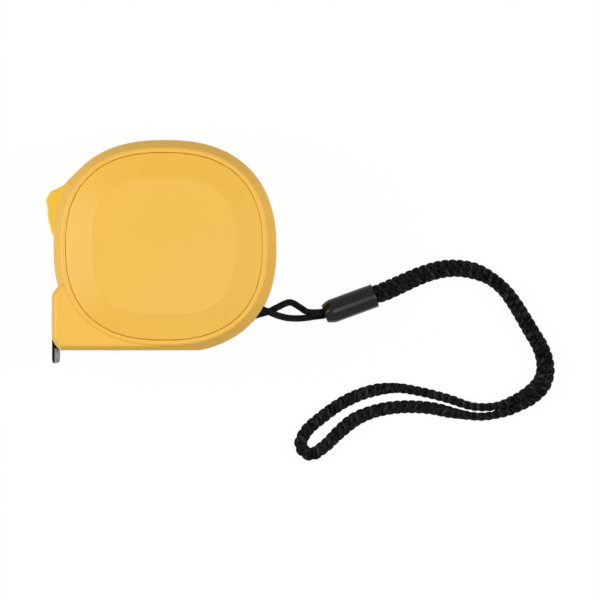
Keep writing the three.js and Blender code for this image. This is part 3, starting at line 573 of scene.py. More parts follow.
# Wrist strap
# A thicker braid of soft yarn. It leaves the sleeve, runs out and round the free end, and comes back
# into the sleeve beside itself. Doubled it stands on edge, and it rolls flat round the free end.
strap_steps = 8
strap_route = [
    (64.5, -13.5), (67.8, -12.1), (73.8, -9.5), (79.9, -7), (85.9, -5.2), (91.6, -4.9), (97.3, -5.9),
    (102.4, -8.6), (106.9, -12.2), (110.3, -16.3), (113.4, -21.2), (116.1, -25.8), (118.8, -30.3),
    (120.5, -35), (120.9, -39.7), (119.5, -44.1), (115.7, -47.75), (110.7, -50.4), (105.3, -52.4),
    (98.9, -53.4), (90.9, -52.4), (82.9, -50.7), (73.9, -50.3), (65.8, -51.5), (58.9, -54.3), (53.3, -58.9),
    (49.3, -62.8), (44.7, -65.4), (41.7, -62.7), (43.2, -58.4), (48.4, -53.6), (55.5, -48.7), (63.6, -45.4),
    (71.9, -44.3), (80.3, -45.6), (88.5, -47.7), (96.6, -50.2), (104.1, -50), (109.3, -48), (113.6, -45.3),
    (116.6, -42.1), (117.8, -38.9), (117.7, -35.6), (116.3, -31.3), (113.8, -27.1), (111.2, -22.6),
    (108.2, -17.7), (105.5, -13.9), (101.6, -10.5), (96.5, -8.5), (91.4, -7.7), (86.5, -8.1), (80.8, -9.7),
    (75, -12.3), (68.9, -15.1), (65.5, -16.1),
]
strap_level = 1.9
strap_descent = [3.8, 3.2, 2.1]
strap_roll = [(0, 0), (19, 0), (20.8, 90), (31.5, 90), (34, 0), (55, 0)]
strap_girth = [
    (0, 1.2), (2, 1.2), (5.5, 1.06), (8, 0.82), (9, 0.82), (11, 0.93), (14, 1.13), (16, 1.17), (17.3, 1.04),
    (18.4, 0.78), (19.6, 0.78), (20.6, 1), (23, 1.08), (24.3, 1.22), (25.6, 1.06), (27, 1.04), (30, 1.04),
    (33, 1), (35, 0.94), (36, 0.78), (36.8, 0.78), (38, 1.03), (39, 1.17), (41, 1.13), (44, 0.93),
    (46, 0.82), (47, 0.82), (49.5, 1.06), (53, 1.2), (55, 1.2),
]
flat_drop = 0.2 * mm
doubled_stations = 18.0
squeeze = 0.2
squeeze_onset = 0.3


def eased(share):
    """A share between none and all of a change, slow at both ends."""
    share = min(1.0, max(0.0, share))
    return share * share * (3 - 2 * share)


def read_off(table, at):
    """The value of a table at a place, eased between its entries."""
    for (low, first), (high, last) in zip(table, table[1:]):
        if at <= high:
            return first + (last - first) * eased((at - low) / (high - low))
    return table[-1][1]


lying = len(strap_route) - 2 * len(strap_descent)
strap_heights = [*strap_descent, *[strap_level] * lying, *reversed(strap_descent)]
strap_points = in_metres((x, y, z) for (x, y), z in zip(strap_route, strap_heights))
strap_line = smooth_route(strap_points, strap_steps)
rolls = [math.radians(read_off(strap_roll, i / strap_steps)) for i in range(len(strap_line))]
girths = [read_off(strap_girth, i / strap_steps) for i in range(len(strap_line))]
for point, roll in zip(strap_line, rolls):
    point.z -= flat_drop * math.sin(roll)
for i in range(round(doubled_stations * strap_steps)):
    middle = (strap_line[i] + strap_line[-1 - i]) / 2
    pressed = squeeze * min(1.0, squeeze_onset * (doubled_stations - i / strap_steps))
    for j in (i, -1 - i):
        strap_line[j] = strap_line[j].lerp(middle, pressed)
strap_braid = braided(
    "strap_braid",
    strap_line,
    rolls,
    girths,
    {
        "Half Height": 1.5 * mm,
        "Half Thickness": 1.04 * mm,
        "Yarns Each Way": 2,
        "Pitch": 4.7 * mm,
        "Lift": 0.16 * mm,
        "Yarn Width": 2.0 * mm,
        "Yarn Thickness": 0.84 * mm,
        "Core": 1.12,
        "Step": 0.2 * mm,
    },
)
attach(strap_braid, "case")
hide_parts("wrist_strap")


# Case shells
# Two halves moulded in yellow plastic, screwed together at mid thickness. Each has a rounded rim round a
# sunk seat for its face panel. The nose with the mouth, the lock's track and the pocket of the lanyard
# pin are shared by both.
panel_half_width = 30.0 * mm
panel_half_height = 28.6 * mm
panel_exponent = 2.45
rim_width = 4.05 * mm
rim_slope_width = 2.65 * mm
rim_slope_height = 4.1 * mm
rim_fullness = 0.5
rim_half = 14.7 * mm
rim_edge = 0.55 * mm
flare_reach = 0.83 * mm
flare_degrees = (136.0, 147.5, 149.5)
seat_floor = 12.4 * mm
seat_edge_rounding = 0.3 * mm
wall = 2.0 * mm
room_half = 10.4 * mm
parting_half = 0.1 * mm
base_y = -31.75 * mm
nose_half = 14.3 * mm
nose_slope_width = 1.3 * mm
nose_slope_height = 2.1 * mm
nose_fullness = 0.1
nose_edge = 0.65 * mm
nose_x = -34.45 * mm
nose_top_y = -14.65 * mm
nose_corner_run = 2.9 * mm
nose_corner_rise = 4.0 * mm
nose_corner_slack = 0.3
shoulder_run = 3.0 * mm
shoulder_rise = 3.9 * mm
brow_softness = 1.1 * mm
recess_x = -32.3 * mm
room_front_x = -30.3 * mm
mouth_half = 10.3 * mm
mouth_top_y = -23.55 * mm
mouth_bottom_y = -29.25 * mm
lock_origin = Vector((-33.05, 10.0, 0.0)) * mm
track_tilt = math.radians(-15)
track_depth = 1.7 * mm
track_upper = 11.1 * mm
track_lower = -13.9 * mm
track_half = 7.6 * mm
stem_slot_upper = 5.3 * mm
stem_slot_lower = -4.3 * mm
stem_slot_half = 2.5 * mm
pocket_inner = 27.26 * mm
pocket_half_length = 4.4 * mm
pocket_half_width = 4.0 * mm
far = 80.0 * mm
outline_steps = 240
to_middle = Matrix.Translation((0, 0, case_middle))
on_track = Matrix.Translation(lock_origin) @ Matrix.Rotation(track_tilt, 4, "Z")
at_lanyard = Matrix.Rotation(lanyard_angle, 4, "Z")


def squircle(half_width, half_height, exponent):
    """The points of a rounded square, a superellipse, at even angles."""
    points = []
    for i in range(outline_steps):
        turn = math.tau * i / outline_steps
        across = (abs(math.cos(turn)) / half_width) ** exponent
        upward = (abs(math.sin(turn)) / half_height) ** exponent
        reach = (across + upward) ** (-1 / exponent)
        points.append(Vector((reach * math.cos(turn), reach * math.sin(turn))))
    return points


def inset(outline, distance):
    """Moves a closed counter-clockwise outline inwards by a distance."""
    moved = []
    for i, point in enumerate(outline):
        before = (point - outline[i - 1]).normalized()
        after = (outline[(i + 1) % len(outline)] - point).normalized()
        inward = Vector((-before.y - after.y, before.x + after.x))
        moved.append(point + inward * (distance / (1 + before.dot(after))))
    return moved


def level(outline, height):
    """A flat outline lifted to a height."""
    return [Vector((*point, height)) for point in outline]


def prism_rings(outline, low, high, low_round=0.0, high_round=0.0, steps=8):
    """The rings of a prism between two heights. A negative rounding flares the rim outwards."""
    rings = []
    for height, rounding, way in ((low, low_round, 1), (high, high_round, -1)):
        arc = []
        for i in range(steps + 1) if rounding else [steps]:
            turn = math.pi / 2 * i / steps
            edge = inset(outline, rounding * (1 - math.sin(turn)))
            arc.append(level(edge, height + way * abs(rounding) * (1 - math.cos(turn))))
        rings += arc if way > 0 else arc[::-1]
    return rings


def prism(outline, low, high, rounding=0.0, steps=8):
    """A closed prism between two heights, with both rims rounded alike."""
    return ring_mesh("prism", prism_rings(outline, low, high, rounding, rounding, steps))


def both_ways(half):
    """The range from minus a half size to plus it."""
    return -half, half


def block(x, y, z, place=Matrix.Identity(4)):
    """A box between two corners, given as ranges, then turned and moved to its place."""
    corners = [Vector((x[0], y[0])), Vector((x[1], y[0])), Vector((x[1], y[1])), Vector((x[0], y[1]))]
    mesh = prism(corners, z[0], z[1])
    mesh.transform(place)
    return mesh


def joined(body, tools, operation):
    """Joins other closed meshes to a body, cuts them from it or keeps what they share with it."""
    holder = linked("holder", body)
    helpers = [linked("helper", tool) for tool in tools]
    for helper in helpers:
        modifier = holder.modifiers.new("join", "BOOLEAN")
        modifier.object = helper
        modifier.operation = operation
        modifier.solver = "MANIFOLD"
    return baked("joined", holder, *helpers)


def bent(start, handle, end, steps=10):
    """A curve with one handle, without its first point."""
    first = start.lerp(handle, 2 / 3)
    second = end.lerp(handle, 2 / 3)
    return interpolate_bezier(start, first, second, end, steps + 1)[1:]


def flare():
    """How far the rim stands out at each point of its outline: it grows towards the lock's upper end."""
    start, crest, end = flare_degrees
    reaches = []
    for i in range(outline_steps):
        degrees = 360 * i / outline_steps
        rise = min(1.0, max(0.0, (degrees - start) / (crest - start)))
        fall = min(1.0, max(0.0, (degrees - crest) / (end - crest)))
        reaches.append(flare_reach * rise * rise * (1 - fall))
    return reaches


def sloped(outline, half, width, height, fullness, edge, reaches=None):
    """A slab with steep slopes down from its two flat faces, fuller towards their feet, and soft edges.

    Its wall may reach out at some of the outline's points. The slopes lead back from there.
    """
    brink = Vector((width, 0))
    foot = Vector((0, height))
    handle = Vector((width * (1 - fullness) / 2, height * (1 + fullness) / 2))
    below_brink = brink + edge * (handle - brink).normalized()
    profile = [brink + Vector((edge, 0))]
    profile += bent(profile[0], brink, below_brink, 8)
    profile += bent(below_brink, handle, foot, 10)
    upper = []
    for inward, drop in profile:
        ring = inset(outline, inward)
        if reaches:
            share = max(0.0, 1 - inward / width)
            ring = [point + share * reach * point.normalized() for point, reach in zip(ring, reaches)]
        upper.append(level(ring, half - drop))
    lower = [[Vector((point.x, point.y, -point.z)) for point in ring] for ring in upper]
    return ring_mesh("slab", lower + upper[::-1])


panel_outline = squircle(panel_half_width, panel_half_height, panel_exponent)
rim_outline = inset(panel_outline, -rim_width)


def nose_outline():
    """The shoulder, the straight front, the lower corner and the flat base, counter-clockwise."""
    brow = Vector((nose_x, nose_top_y))
    shoulder = Vector((shoulder_run, shoulder_rise))
    brow_start = brow + brow_softness * shoulder.normalized()
    points = [Vector((0, nose_top_y)), brow + shoulder, brow_start]
    points += bent(brow_start, brow, brow - Vector((0, brow_softness)), 5)
    corner_start = Vector((nose_x, base_y + nose_corner_rise))
    corner_end = Vector((nose_x + nose_corner_run, base_y))
    handle = Vector((nose_x, base_y)) + nose_corner_slack * Vector((nose_corner_run, nose_corner_rise))
    points += [corner_start, *bent(corner_start, handle, corner_end, 6)]
    points.append(Vector((0, base_y)))
    return points


def seat_cuts():
    """The sunk seats for the two panels, each with a soft brink."""
    rings = prism_rings(panel_outline, seat_floor, rim_half, 0.0, -seat_edge_rounding, 5)
    rings.append([point + Vector((0, 0, wall)) for point in rings[-1]])
    seats = [ring_mesh("seat", rings) for _ in range(2)]
    seats[1].transform(Matrix.Rotation(math.pi, 4, "X"))
    return seats


def case_body():
    """The whole case: the rim's disc and the nose, cut off flat at the base, hollow, with its openings."""
    disc = sloped(rim_outline, rim_half, rim_slope_width, rim_slope_height, rim_fullness, rim_edge, flare())
    nose = sloped(nose_outline(), nose_half, nose_slope_width, nose_slope_height, nose_fullness, nose_edge)
    solid = joined(disc, [nose], "UNION")
    below_base = block(both_ways(far), (-far, base_y), both_ways(far))
    room = prism(inset(panel_outline, wall - rim_width), -room_half, room_half)
    nose_room = block((room_front_x, 0), (base_y + wall, nose_top_y), both_ways(room_half))
    through = both_ways(rim_half)
    walls = [
        block((-far, track_depth + wall), (track_lower + wall, track_upper + wall), through, on_track),
        block((pocket_inner - wall, far), both_ways(pocket_half_length + wall), through, at_lanyard),
        block(both_ways(far), (-far, base_y + wall), both_ways(far)),
    ]
    room = joined(joined(room, [nose_room], "UNION"), walls, "DIFFERENCE")
    outside = nose_x - wall
    stem_slot = (stem_slot_lower, stem_slot_upper)
    openings = [
        block((outside, recess_x), (base_y - wall, mouth_top_y), both_ways(mouth_half)),
        block((outside, room_front_x + wall), (mouth_bottom_y, mouth_top_y), both_ways(mouth_half)),
        block((-far / 2, track_depth), (track_lower, track_upper), both_ways(track_half), on_track),
        block((0, track_depth + 2 * wall), stem_slot, both_ways(stem_slot_half), on_track),
        block((pocket_inner, far), both_ways(pocket_half_length), both_ways(pocket_half_width), at_lanyard),
    ]
    return joined(solid, [below_base, room, *seat_cuts(), *openings], "DIFFERENCE")


dark_yellow = (0.832, 0.466, 0.052)
light_yellow = (0.862, 0.489, 0.060)
case_yellow = plastic("case_yellow", dark_yellow, light_yellow, 0.42, 0.004 * mm)
for shell_name, way, replaced in (("front_case", 1, "front_shell"), ("back_case", -1, "back_shell")):
    levels = sorted((way * parting_half, way * far))
    half = joined(case_body(), [block(both_ways(far), both_ways(far), levels)], "INTERSECT")
    half.name = shell_name
    half.transform(to_middle)
    shell = finished(half, case_yellow, crease=12)
    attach(shell, "case")
    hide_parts(replaced)


# Face panels
# A moulded panel of the case's yellow plastic, snapped into each seat. It has a filleted edge, a long
# gentle slope and a flat raised plateau.
panel_gap = 0.09 * mm
panel_seat = 12.7 * mm
panel_land = 4.0 * mm
panel_edge_rounding = 0.3 * mm
slope_steps = 8
plateau_half_width = 21.75 * mm
plateau_half_height = 20.75 * mm
plateau_exponent = 2.9
plateau_height = 16.5 * mm
crease_width = 0.35 * mm
crease_drops = [(1.0, 0.11), (0.5, 0.045), (0.0, 0.012), (-0.6, 0.0)]

plateau_outline = squircle(plateau_half_width, plateau_half_height, plateau_exponent)


def face_rings():
    """The rings of a panel, from the hollow behind it over its edge and slope to the plateau."""
    hollow = level(plateau_outline, panel_seat + plateau_height - rim_half)
    rings = [hollow, level(inset(panel_outline, panel_land), panel_seat)]
    edge = inset(panel_outline, panel_gap)
    rings += prism_rings(edge, panel_seat, rim_half, 0.0, panel_edge_rounding, 6)
    creases = []
    for share, drop in crease_drops:
        creases.append(level(inset(plateau_outline, -share * crease_width), plateau_height - drop * mm))
    slope = list(zip(rings[-1], creases[0]))
    for i in range(1, slope_steps + 1):
        rings.append([outer.lerp(inner, i / slope_steps) for outer, inner in slope])
    return rings + creases[1:]


face_yellow = plastic("face_yellow", dark_yellow, light_yellow, 0.40, 0.004 * mm)
for face_name, turn, replaced in (("front_face", 0.0, "front_panel"), ("back_face", math.pi, "back_panel")):
    face_mesh = ring_mesh(face_name, face_rings())
    face_mesh.transform(to_middle @ Matrix.Rotation(turn, 4, "Y"))
    face = finished(face_mesh, face_yellow)
    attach(face, "case")
    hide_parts(replaced)


# Thumb lock
# A slider of brighter yellow plastic in the track. Its top is hooked for the thumb and its ramp runs out
# at the lower end. A stem goes through the track to the brake's arm.
button_foot = [(1.4, -6.9), (1.4, 10.5), (0.3, 10.5)]
button_bends = [
    ((-1.4, 8.3), (-4.2, 6.15)), ((-4.65, 4.9), (-4.8, 2.95)), ((-4.05, 1.9), (-3.7, 0.9)),
    ((-3.1, -1.75), (-1.6, -4.1)), ((-0.7, -6.2), (0.3, -6.9)),
]
button_half_width = 7.0 * mm
button_rounding = 0.45 * mm
stem_half_width = 2.2 * mm
stem_reaches = (0.4 * mm, 6.0 * mm)
stem_range = (1.0 * mm, 5.0 * mm)

button_outline = in_metres(button_foot)
for bend in button_bends:
    button_outline += bent(button_outline[-1], *in_metres(bend))
lock_lemon = plastic("lock_lemon", (0.930, 0.600, 0.030), (0.950, 0.625, 0.036), 0.38, 0.003 * mm)
button = prism(button_outline, -button_half_width, button_half_width, button_rounding, 6)
button = joined(button, [block(stem_reaches, stem_range, both_ways(stem_half_width))], "UNION")
button.name = "thumb_lock"
button.transform(to_middle @ on_track)
thumb_lock = finished(button, lock_lemon)
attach(thumb_lock, "lock")
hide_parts("lock_button")


# Case screws
# Four pan-head steel screws with a cross recess. They go in from the back and are hidden by its panel.
screw_names = [f"case_screw_{i}" for i in range(1, 5)]
screw_boxes = [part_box(screw_name) for screw_name in screw_names]
screw_head_radius = 2.0 * mm
screw_head_height = 1.3 * mm
screw_head_profile = [(1.0, 0.0), (1.0, 0.45), (0.94, 0.75), (0.75, 0.95), (0.45, 1.0)]
screw_shank_radius = 1.05 * mm
screw_point_profile = [(0.3, 0.0), (0.84, 0.5), (1.05, 1.2)]
screw_length = screw_boxes[0][1].z - screw_boxes[0][0].z - screw_head_height
recess_half_length = 1.1 * mm
recess_half_width = 0.27 * mm
recess_depth = 0.7 * mm
screw_turn = math.radians(37)
screw_sides = 24


def fixing_tree():
    """One fixing at each point, with its axis along the point's aim and each turned a little further."""
    tree, given = new_tree(
        "fixings",
        "GeometryNodeTree",
        {"Geometry": ["Places"], "Object": ["Fixing"], "Float": ["Turn"], "Material": ["Metal"]},
        {"Geometry": ["Set"]},
    )
    shape = add(tree, "GeometryNodeObjectInfo", {"Object": given["Fixing"]}).outputs["Geometry"]
    aim = put(tree, "GeometryNodeInputNamedAttribute", {"Name": "aim"}, data_type="FLOAT_VECTOR")
    upright = put(tree, "FunctionNodeAlignRotationToVector", {"Vector": aim}, axis="Z")
    angle = calc(tree, "MULTIPLY", put(tree, "GeometryNodeInputIndex"), given["Turn"])
    spin = put(tree, "FunctionNodeAxisAngleToRotation", {"Axis": (0, 0, 1), "Angle": angle})
    both = put(tree, "FunctionNodeRotateRotation", {0: upright, 1: spin}, rotation_space="LOCAL")
    sockets = {"Points": given["Places"], "Instance": shape, "Rotation": both}
    return given_out(tree, put(tree, "GeometryNodeInstanceOnPoints", sockets), given["Metal"])


def fixing_set(name, shape, places, aims, turn, metal):
    """Makes one mesh of like fixings from the mesh of one of them, the places and the axes."""
    points = bpy.data.meshes.new("places")
    points.from_pydata(places, [], [])
    aim = points.attributes.new("aim", "FLOAT_VECTOR", "POINT")
    for value, way in zip(aim.data, aims):
        value.vector = way
    pattern = linked("pattern", shape)
    values = {"Fixing": pattern, "Turn": turn, "Metal": metal}
    mesh = made_by_nodes(name, linked("places", points), fixings, values)
    bpy.data.objects.remove(pattern)
    return finished(mesh, metal)


def brushed_group():
    """Fine straight brushing along X, and soft stains, as masks."""
    stain_scale = 240.0
    tree, given = new_tree(
        "brushed_metal",
        "ShaderNodeTree",
        {"Float": ["Stroke Length", "Stroke Fineness"]},
        {"Float": ["Strokes", "Stain"]},
    )
    place = add(tree, "ShaderNodeTexCoord").outputs["Object"]
    parts = add(tree, "ShaderNodeSeparateXYZ", {0: place}).outputs
    stretched = {"X": calc(tree, "DIVIDE", parts["X"], given["Stroke Length"])}
    for way in ("Y", "Z"):
        stretched[way] = calc(tree, "MULTIPLY", parts[way], given["Stroke Fineness"])
    strokes = noise(tree, put(tree, "ShaderNodeCombineXYZ", stretched), 1.0, 4.0)
    add(tree, "NodeGroupOutput", {"Strokes": strokes, "Stain": noise(tree, place, stain_scale, 2.0)})
    return tree


brushed_metal = brushed_group()


def brush_masks(tree, stroke_length, stroke_fineness):
    """The masks of the brushing, for one material."""
    sockets = {"Stroke Length": stroke_length, "Stroke Fineness": stroke_fineness}
    return add(tree, "ShaderNodeGroup", sockets, node_tree=brushed_metal).outputs


def brushed_roughness(tree, strokes, roughness):
    """A roughness that rises and falls with the strokes."""
    spread = 0.25
    below = 0.12
    return calc(tree, "MULTIPLY_ADD", strokes, spread, roughness - below)


def steel(name, dark, light, roughness):
    """A brushed or plated steel between two tones."""
    stroke_length = 0.004
    stroke_fineness = 6000.0
    stroke_depth = 0.01 * mm
    material, tree, shader = principled(name, Metallic=1.0)
    brush = brush_masks(tree, stroke_length, stroke_fineness)
    colour = mix_colour(tree, brush["Stain"], dark, light)
    rough = brushed_roughness(tree, brush["Strokes"], roughness)
    surface(tree, shader, brush["Strokes"], 0.4, stroke_depth, {"Base Color": colour, "Roughness": rough})
    return material


bright_steel = steel("bright_steel", (0.46, 0.46, 0.49), (0.62, 0.62, 0.65), 0.3)
fixings = fixing_tree()
screw_profile = [(radius * mm, screw_length - height * mm) for radius, height in screw_point_profile]
screw_profile.append((screw_shank_radius, 0.0))
for radius_share, height_share in screw_head_profile:
    screw_profile.append((radius_share * screw_head_radius, -height_share * screw_head_height))
recess_depths = (-2 * screw_head_height, recess_depth - screw_head_height)
recess_sides = [both_ways(recess_half_length), both_ways(recess_half_width)]
recesses = [block(*sides, recess_depths) for sides in (recess_sides, recess_sides[::-1])]
screw_shape = joined(lathed("screw", screw_profile, screw_sides), recesses, "DIFFERENCE")
screw_places = []
for low, high in screw_boxes:
    screw_places.append(Vector(((low.x + high.x) / 2, (low.y + high.y) / 2, low.z + screw_head_height)))
screw_aims = [Vector((0, 0, 1))] * len(screw_places)
screws = fixing_set("case_screws", screw_shape, screw_places, screw_aims, screw_turn, bright_steel)
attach(screws, "case")
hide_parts(*screw_names)


# Arbor and reel
# A slotted nylon post stands across the case. The black drum and its cover turn on it, round the coiled
# mainspring, and carry the wound blade.
def wound_tree():
    """A strip wound on edge in a flat spiral about the Z axis."""
    floats = [
        "Turns", "Inner Radius", "Outer Radius", "Start Angle", "Strip Width", "Strip Thickness",
        "Middle Height",
    ]
    tree, given = new_tree(
        "wound_strip",
        "GeometryNodeTree",
        {"Geometry": ["Geometry"], "Float": floats, "Int": ["Steps Each Turn"], "Material": ["Finish"]},
        {"Geometry": ["Strip"]},
    )
    spiral = put(
        tree,
        "GeometryNodeCurveSpiral",
        {
            "Resolution": given["Steps Each Turn"],
            "Rotations": given["Turns"],
            "Start Radius": given["Inner Radius"],
            "End Radius": given["Outer Radius"],
            "Height": 0.0,
        },
    )
    turn = put(tree, "ShaderNodeCombineXYZ", {"Z": given["Start Angle"]})
    lift = put(tree, "ShaderNodeCombineXYZ", {"Z": given["Middle Height"]})
    line = put(tree, "GeometryNodeTransform", {"Geometry": spiral, "Rotation": turn, "Translation": lift})
    line = put(tree, "GeometryNodeSetCurveNormal", {"Curve": line}, mode="Z_UP")
    sides = {"Width": given["Strip Thickness"], "Height": given["Strip Width"]}
    section = put(tree, "GeometryNodeCurvePrimitiveQuadrilateral", sides)
    return given_out(tree, swept(tree, line, section), given["Finish"])


wound_strip = wound_tree()


def wound(name, material, box, sizes):
    """A strip wound between the lowest and highest point of a box, as a finished object."""
    low, high = box[0].z, box[1].z
    values = {"Strip Width": high - low, "Middle Height": (high + low) / 2, "Finish": material, **sizes}
    holder = linked("holder", bpy.data.meshes.new("holder"))
    return finished(made_by_nodes(name, holder, wound_strip, values), material)


def dress(node_name, material):
    """Gives a solid that shows as it is its finish."""
    for material_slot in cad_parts[node_name].material_slots:
        material_slot.material = material


white_nylon = plastic("white_nylon", (0.66, 0.64, 0.58), (0.74, 0.72, 0.66), 0.45, 0.005 * mm)
reel_black = plastic("reel_black", (0.011, 0.011, 0.012), (0.020, 0.020, 0.022), 0.42, 0.006 * mm)
spring_steel = steel("spring_steel", (0.16, 0.19, 0.26), (0.30, 0.31, 0.36), 0.32)
roll_enamel = plastic("roll_enamel", (0.74, 0.50, 0.05), (0.88, 0.62, 0.08), 0.34, 0.004 * mm)
dress("spring_arbor", white_nylon)
dress("reel_drum", reel_black)
dress("reel_cover", reel_black)

mainspring = wound(
    "mainspring_coil",
    spring_steel,
    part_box("mainspring"),
    {
        "Turns": 8.0,
        "Steps Each Turn": 64,
        "Inner Radius": 5.0 * mm,
        "Outer Radius": 14.6 * mm,
        "Start Angle": 0.0,
        "Strip Thickness": 0.4 * mm,
    },
)
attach(mainspring, "reel")
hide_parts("mainspring")

roll = wound(
    "tape_winding",
    roll_enamel,
    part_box("tape_roll"),
    {
        "Turns": 26.0,
        "Steps Each Turn": 72,
        "Inner Radius": 17.0 * mm,
        "Outer Radius": 24.4 * mm,
        "Start Angle": -math.pi / 2,
        "Strip Thickness": 0.2 * mm,
    },
)
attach(roll, "reel")
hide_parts("tape_roll")


# Blade
# The free end of the cupped steel blade, enamelled yellow, with millimetre marks and plain numbers. It
# leaves the roll flat and is cupped at the mouth. Drawn out, it is fed from the stretch behind the mouth.
blade_end_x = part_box("blade_tongue")[0].x
blade_half_width = 9.5 * mm
blade_thickness = 0.2 * mm
blade_cup = 2.2 * mm
blade_rise = 4.8 * mm
blade_y = base_y + blade_rise
roll_exit_y = -24.8 * mm
blade_bend = 22.0 * mm
feed_start_x = -23.5 * mm
feed_end_x = -28.8 * mm
full_pull = 0.1197
drawn_end_x = blade_end_x - full_pull
mark_step = 1.0 * mm
across_steps = 16
cup_radius = (blade_half_width ** 2 + blade_cup ** 2) / (2 * blade_cup)
cup_centre_y = blade_y + cup_radius


def place_at_rest(drawn_x):
    """Where a place of the fully drawn blade lies while the blade is in."""
    halvings = 60
    near, beyond = 0.0, blade_end_x
    for _ in range(halvings):
        middle = (near + beyond) / 2
        fed_share = eased((middle - feed_start_x) / (feed_end_x - feed_start_x))
        if middle - full_pull * fed_share > drawn_x:
            near = middle
        else:
            beyond = middle
    return (near + beyond) / 2


def blade_height(x, across):
    """The height of the blade's middle skin at a place along and across it."""
    cup = cup_radius - math.sqrt(cup_radius ** 2 - across ** 2)
    return roll_exit_y + eased(-x / blade_bend) * (blade_y - roll_exit_y + cup)


def blade_mesh():
    """The blade as a thin closed skin. Each point keeps its distance from the hook, and its side."""
    count = round(-drawn_end_x / mark_step)
    across = [blade_half_width * (2 * j / across_steps - 1) for j in range(across_steps + 1)]
    rings = []
    reach = []
    for i in range(count + 1):
        drawn_x = drawn_end_x * i / count
        x = place_at_rest(drawn_x)
        over = [Vector((x, blade_height(x, z) + blade_thickness / 2, case_middle + z)) for z in across]
        under = [Vector((x, blade_height(x, z) - blade_thickness / 2, case_middle + z)) for z in across]
        rings.append(over + under[::-1])
        reach += [drawn_x - drawn_end_x] * len(rings[-1])
    mesh = ring_mesh("blade", rings)
    sides = ([1.0] * len(across) + [0.0] * len(across)) * len(rings)
    for name, values in (("reach", reach), ("printed", sides)):
        mesh.attributes.new(name, "FLOAT", "POINT").data.foreach_set("value", values)
    return mesh


def blade_material():
    """Yellow enamel with black marks: short each millimetre, longer each five and longest each ten."""
    mark_half_width = 0.09
    mark_lengths = {1: 3.0, 5: 4.6, 10: 6.4}
    mark_black = (0.012, 0.012, 0.012)
    grain_scale = 3000.0
    cloud_scale = 90.0
    grain_depth = 0.002 * mm
    material, tree, shader = principled("blade_enamel", Roughness=0.3)
    grain = grain_masks(tree, grain_scale, cloud_scale)
    enamel = mix_colour(tree, grain["Cloud"], (0.91, 0.635, 0.03), (0.96, 0.70, 0.05))
    reach = calc(tree, "DIVIDE", stored(tree, "reach"), mm)
    place = add(tree, "ShaderNodeTexCoord").outputs["Object"]
    height = add(tree, "ShaderNodeSeparateXYZ", {0: place}).outputs["Z"]
    off_middle = calc(tree, "ABSOLUTE", calc(tree, "SUBTRACT", height, case_middle))
    from_edge = calc(tree, "DIVIDE", calc(tree, "SUBTRACT", blade_half_width, off_middle), mm)
    marks = 0.0
    for every, length in mark_lengths.items():
        near = calc(tree, "PINGPONG", reach, every / 2)
        line = calc(tree, "LESS_THAN", near, mark_half_width)
        mark = calc(tree, "MULTIPLY", line, calc(tree, "LESS_THAN", from_edge, length))
        marks = calc(tree, "MAXIMUM", marks, mark)
    marks = calc(tree, "MULTIPLY", marks, calc(tree, "GREATER_THAN", stored(tree, "printed"), 0.5))
    colour = mix_colour(tree, marks, enamel, mark_black)
    surface(tree, shader, grain["Height"], 1.0, grain_depth, {"Base Color": colour})
    return material


blade = finished(blade_mesh(), blade_material())
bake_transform(blade)
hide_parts("blade_tongue")


# Blade numbers
# Plain printed numbers in centimetres, black, and red at the tens. They lie on the blade's hollow side.
number_size = 4.6 * mm
number_middle = 0.36 * number_size
number_gap = 0.9 * mm
number_lift = 0.03 * mm
number_step = 10.0 * mm
last_number = 11


def number_mesh(value):
    """The flat mesh of one number, with its lower right corner at the origin."""
    curve = bpy.data.curves.new("number", "FONT")
    curve.body = str(value)
    curve.size = number_size
    curve.resolution_u = 4
    curve.align_x = "RIGHT"
    return baked("number", linked("number", curve))


def ink(name, tone):
    """A flat printing ink with a faint mottle."""
    return plastic(name, tone, tuple(1.25 * part for part in tone), 0.45, 0.002 * mm)


number_points = []
number_faces = []
number_tens = []
for number in range(1, last_number + 1):
    flat = number_mesh(number)
    first = len(number_points)
    for vertex in flat.vertices:
        across = number_middle - vertex.co.y
        x = place_at_rest(drawn_end_x + number_step * number - number_gap + vertex.co.x)
        top = blade_height(x, across) + blade_thickness / 2 + number_lift
        number_points.append((x, top, case_middle + across))
    for face in flat.polygons:
        number_faces.append([first + corner for corner in face.vertices])
        number_tens.append(number % 10 == 0)
numbers_mesh = bpy.data.meshes.new("blade_numbers")
numbers_mesh.from_pydata(number_points, [], number_faces)
numbers = finished(numbers_mesh, ink("black_ink", (0.010, 0.010, 0.011)))
numbers_mesh.materials.append(ink("red_ink", (0.55, 0.02, 0.02)))
for face, ten in zip(numbers_mesh.polygons, number_tens):
    face.material_index = int(ten)
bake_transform(numbers)


# End hook
# A bent steel plate with a cupped tab under the blade. The tab has slots for two rivets, so that the hook
# floats. The plate has a hole for a nail and a notch at its foot. Its faces are bare steel. Its edges that
# face along Z are painted black and not metallic, a painted dark reflection.
hook_low, hook_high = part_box("end_hook")
hook_thickness = 0.8 * mm
hook_inner_x = hook_low.x + hook_thickness
hook_half_width = 8.5 * mm
hook_corner = 2.4 * mm
hook_edge_rounding = 0.12 * mm
tab_clearance = 0.4 * mm
tab_inner_radius = cup_radius + tab_clearance
tab_outer_radius = tab_inner_radius + hook_thickness
nail_half_width = 1.1 * mm
nail_half_height = 0.8 * mm
nail_drop = 0.15 * mm
nail_y = base_y - nail_drop
notch_half_width = 0.8 * mm
notch_depth = 1.0 * mm
rivet_setback = 3.4 * mm
rivet_x = hook_inner_x + rivet_setback
rivet_half_spacing = 3.2 * mm
rivet_tilt = math.asin(rivet_half_spacing / cup_radius)
rivet_slot_half = 1.1 * mm
hook_float = 1.0 * mm


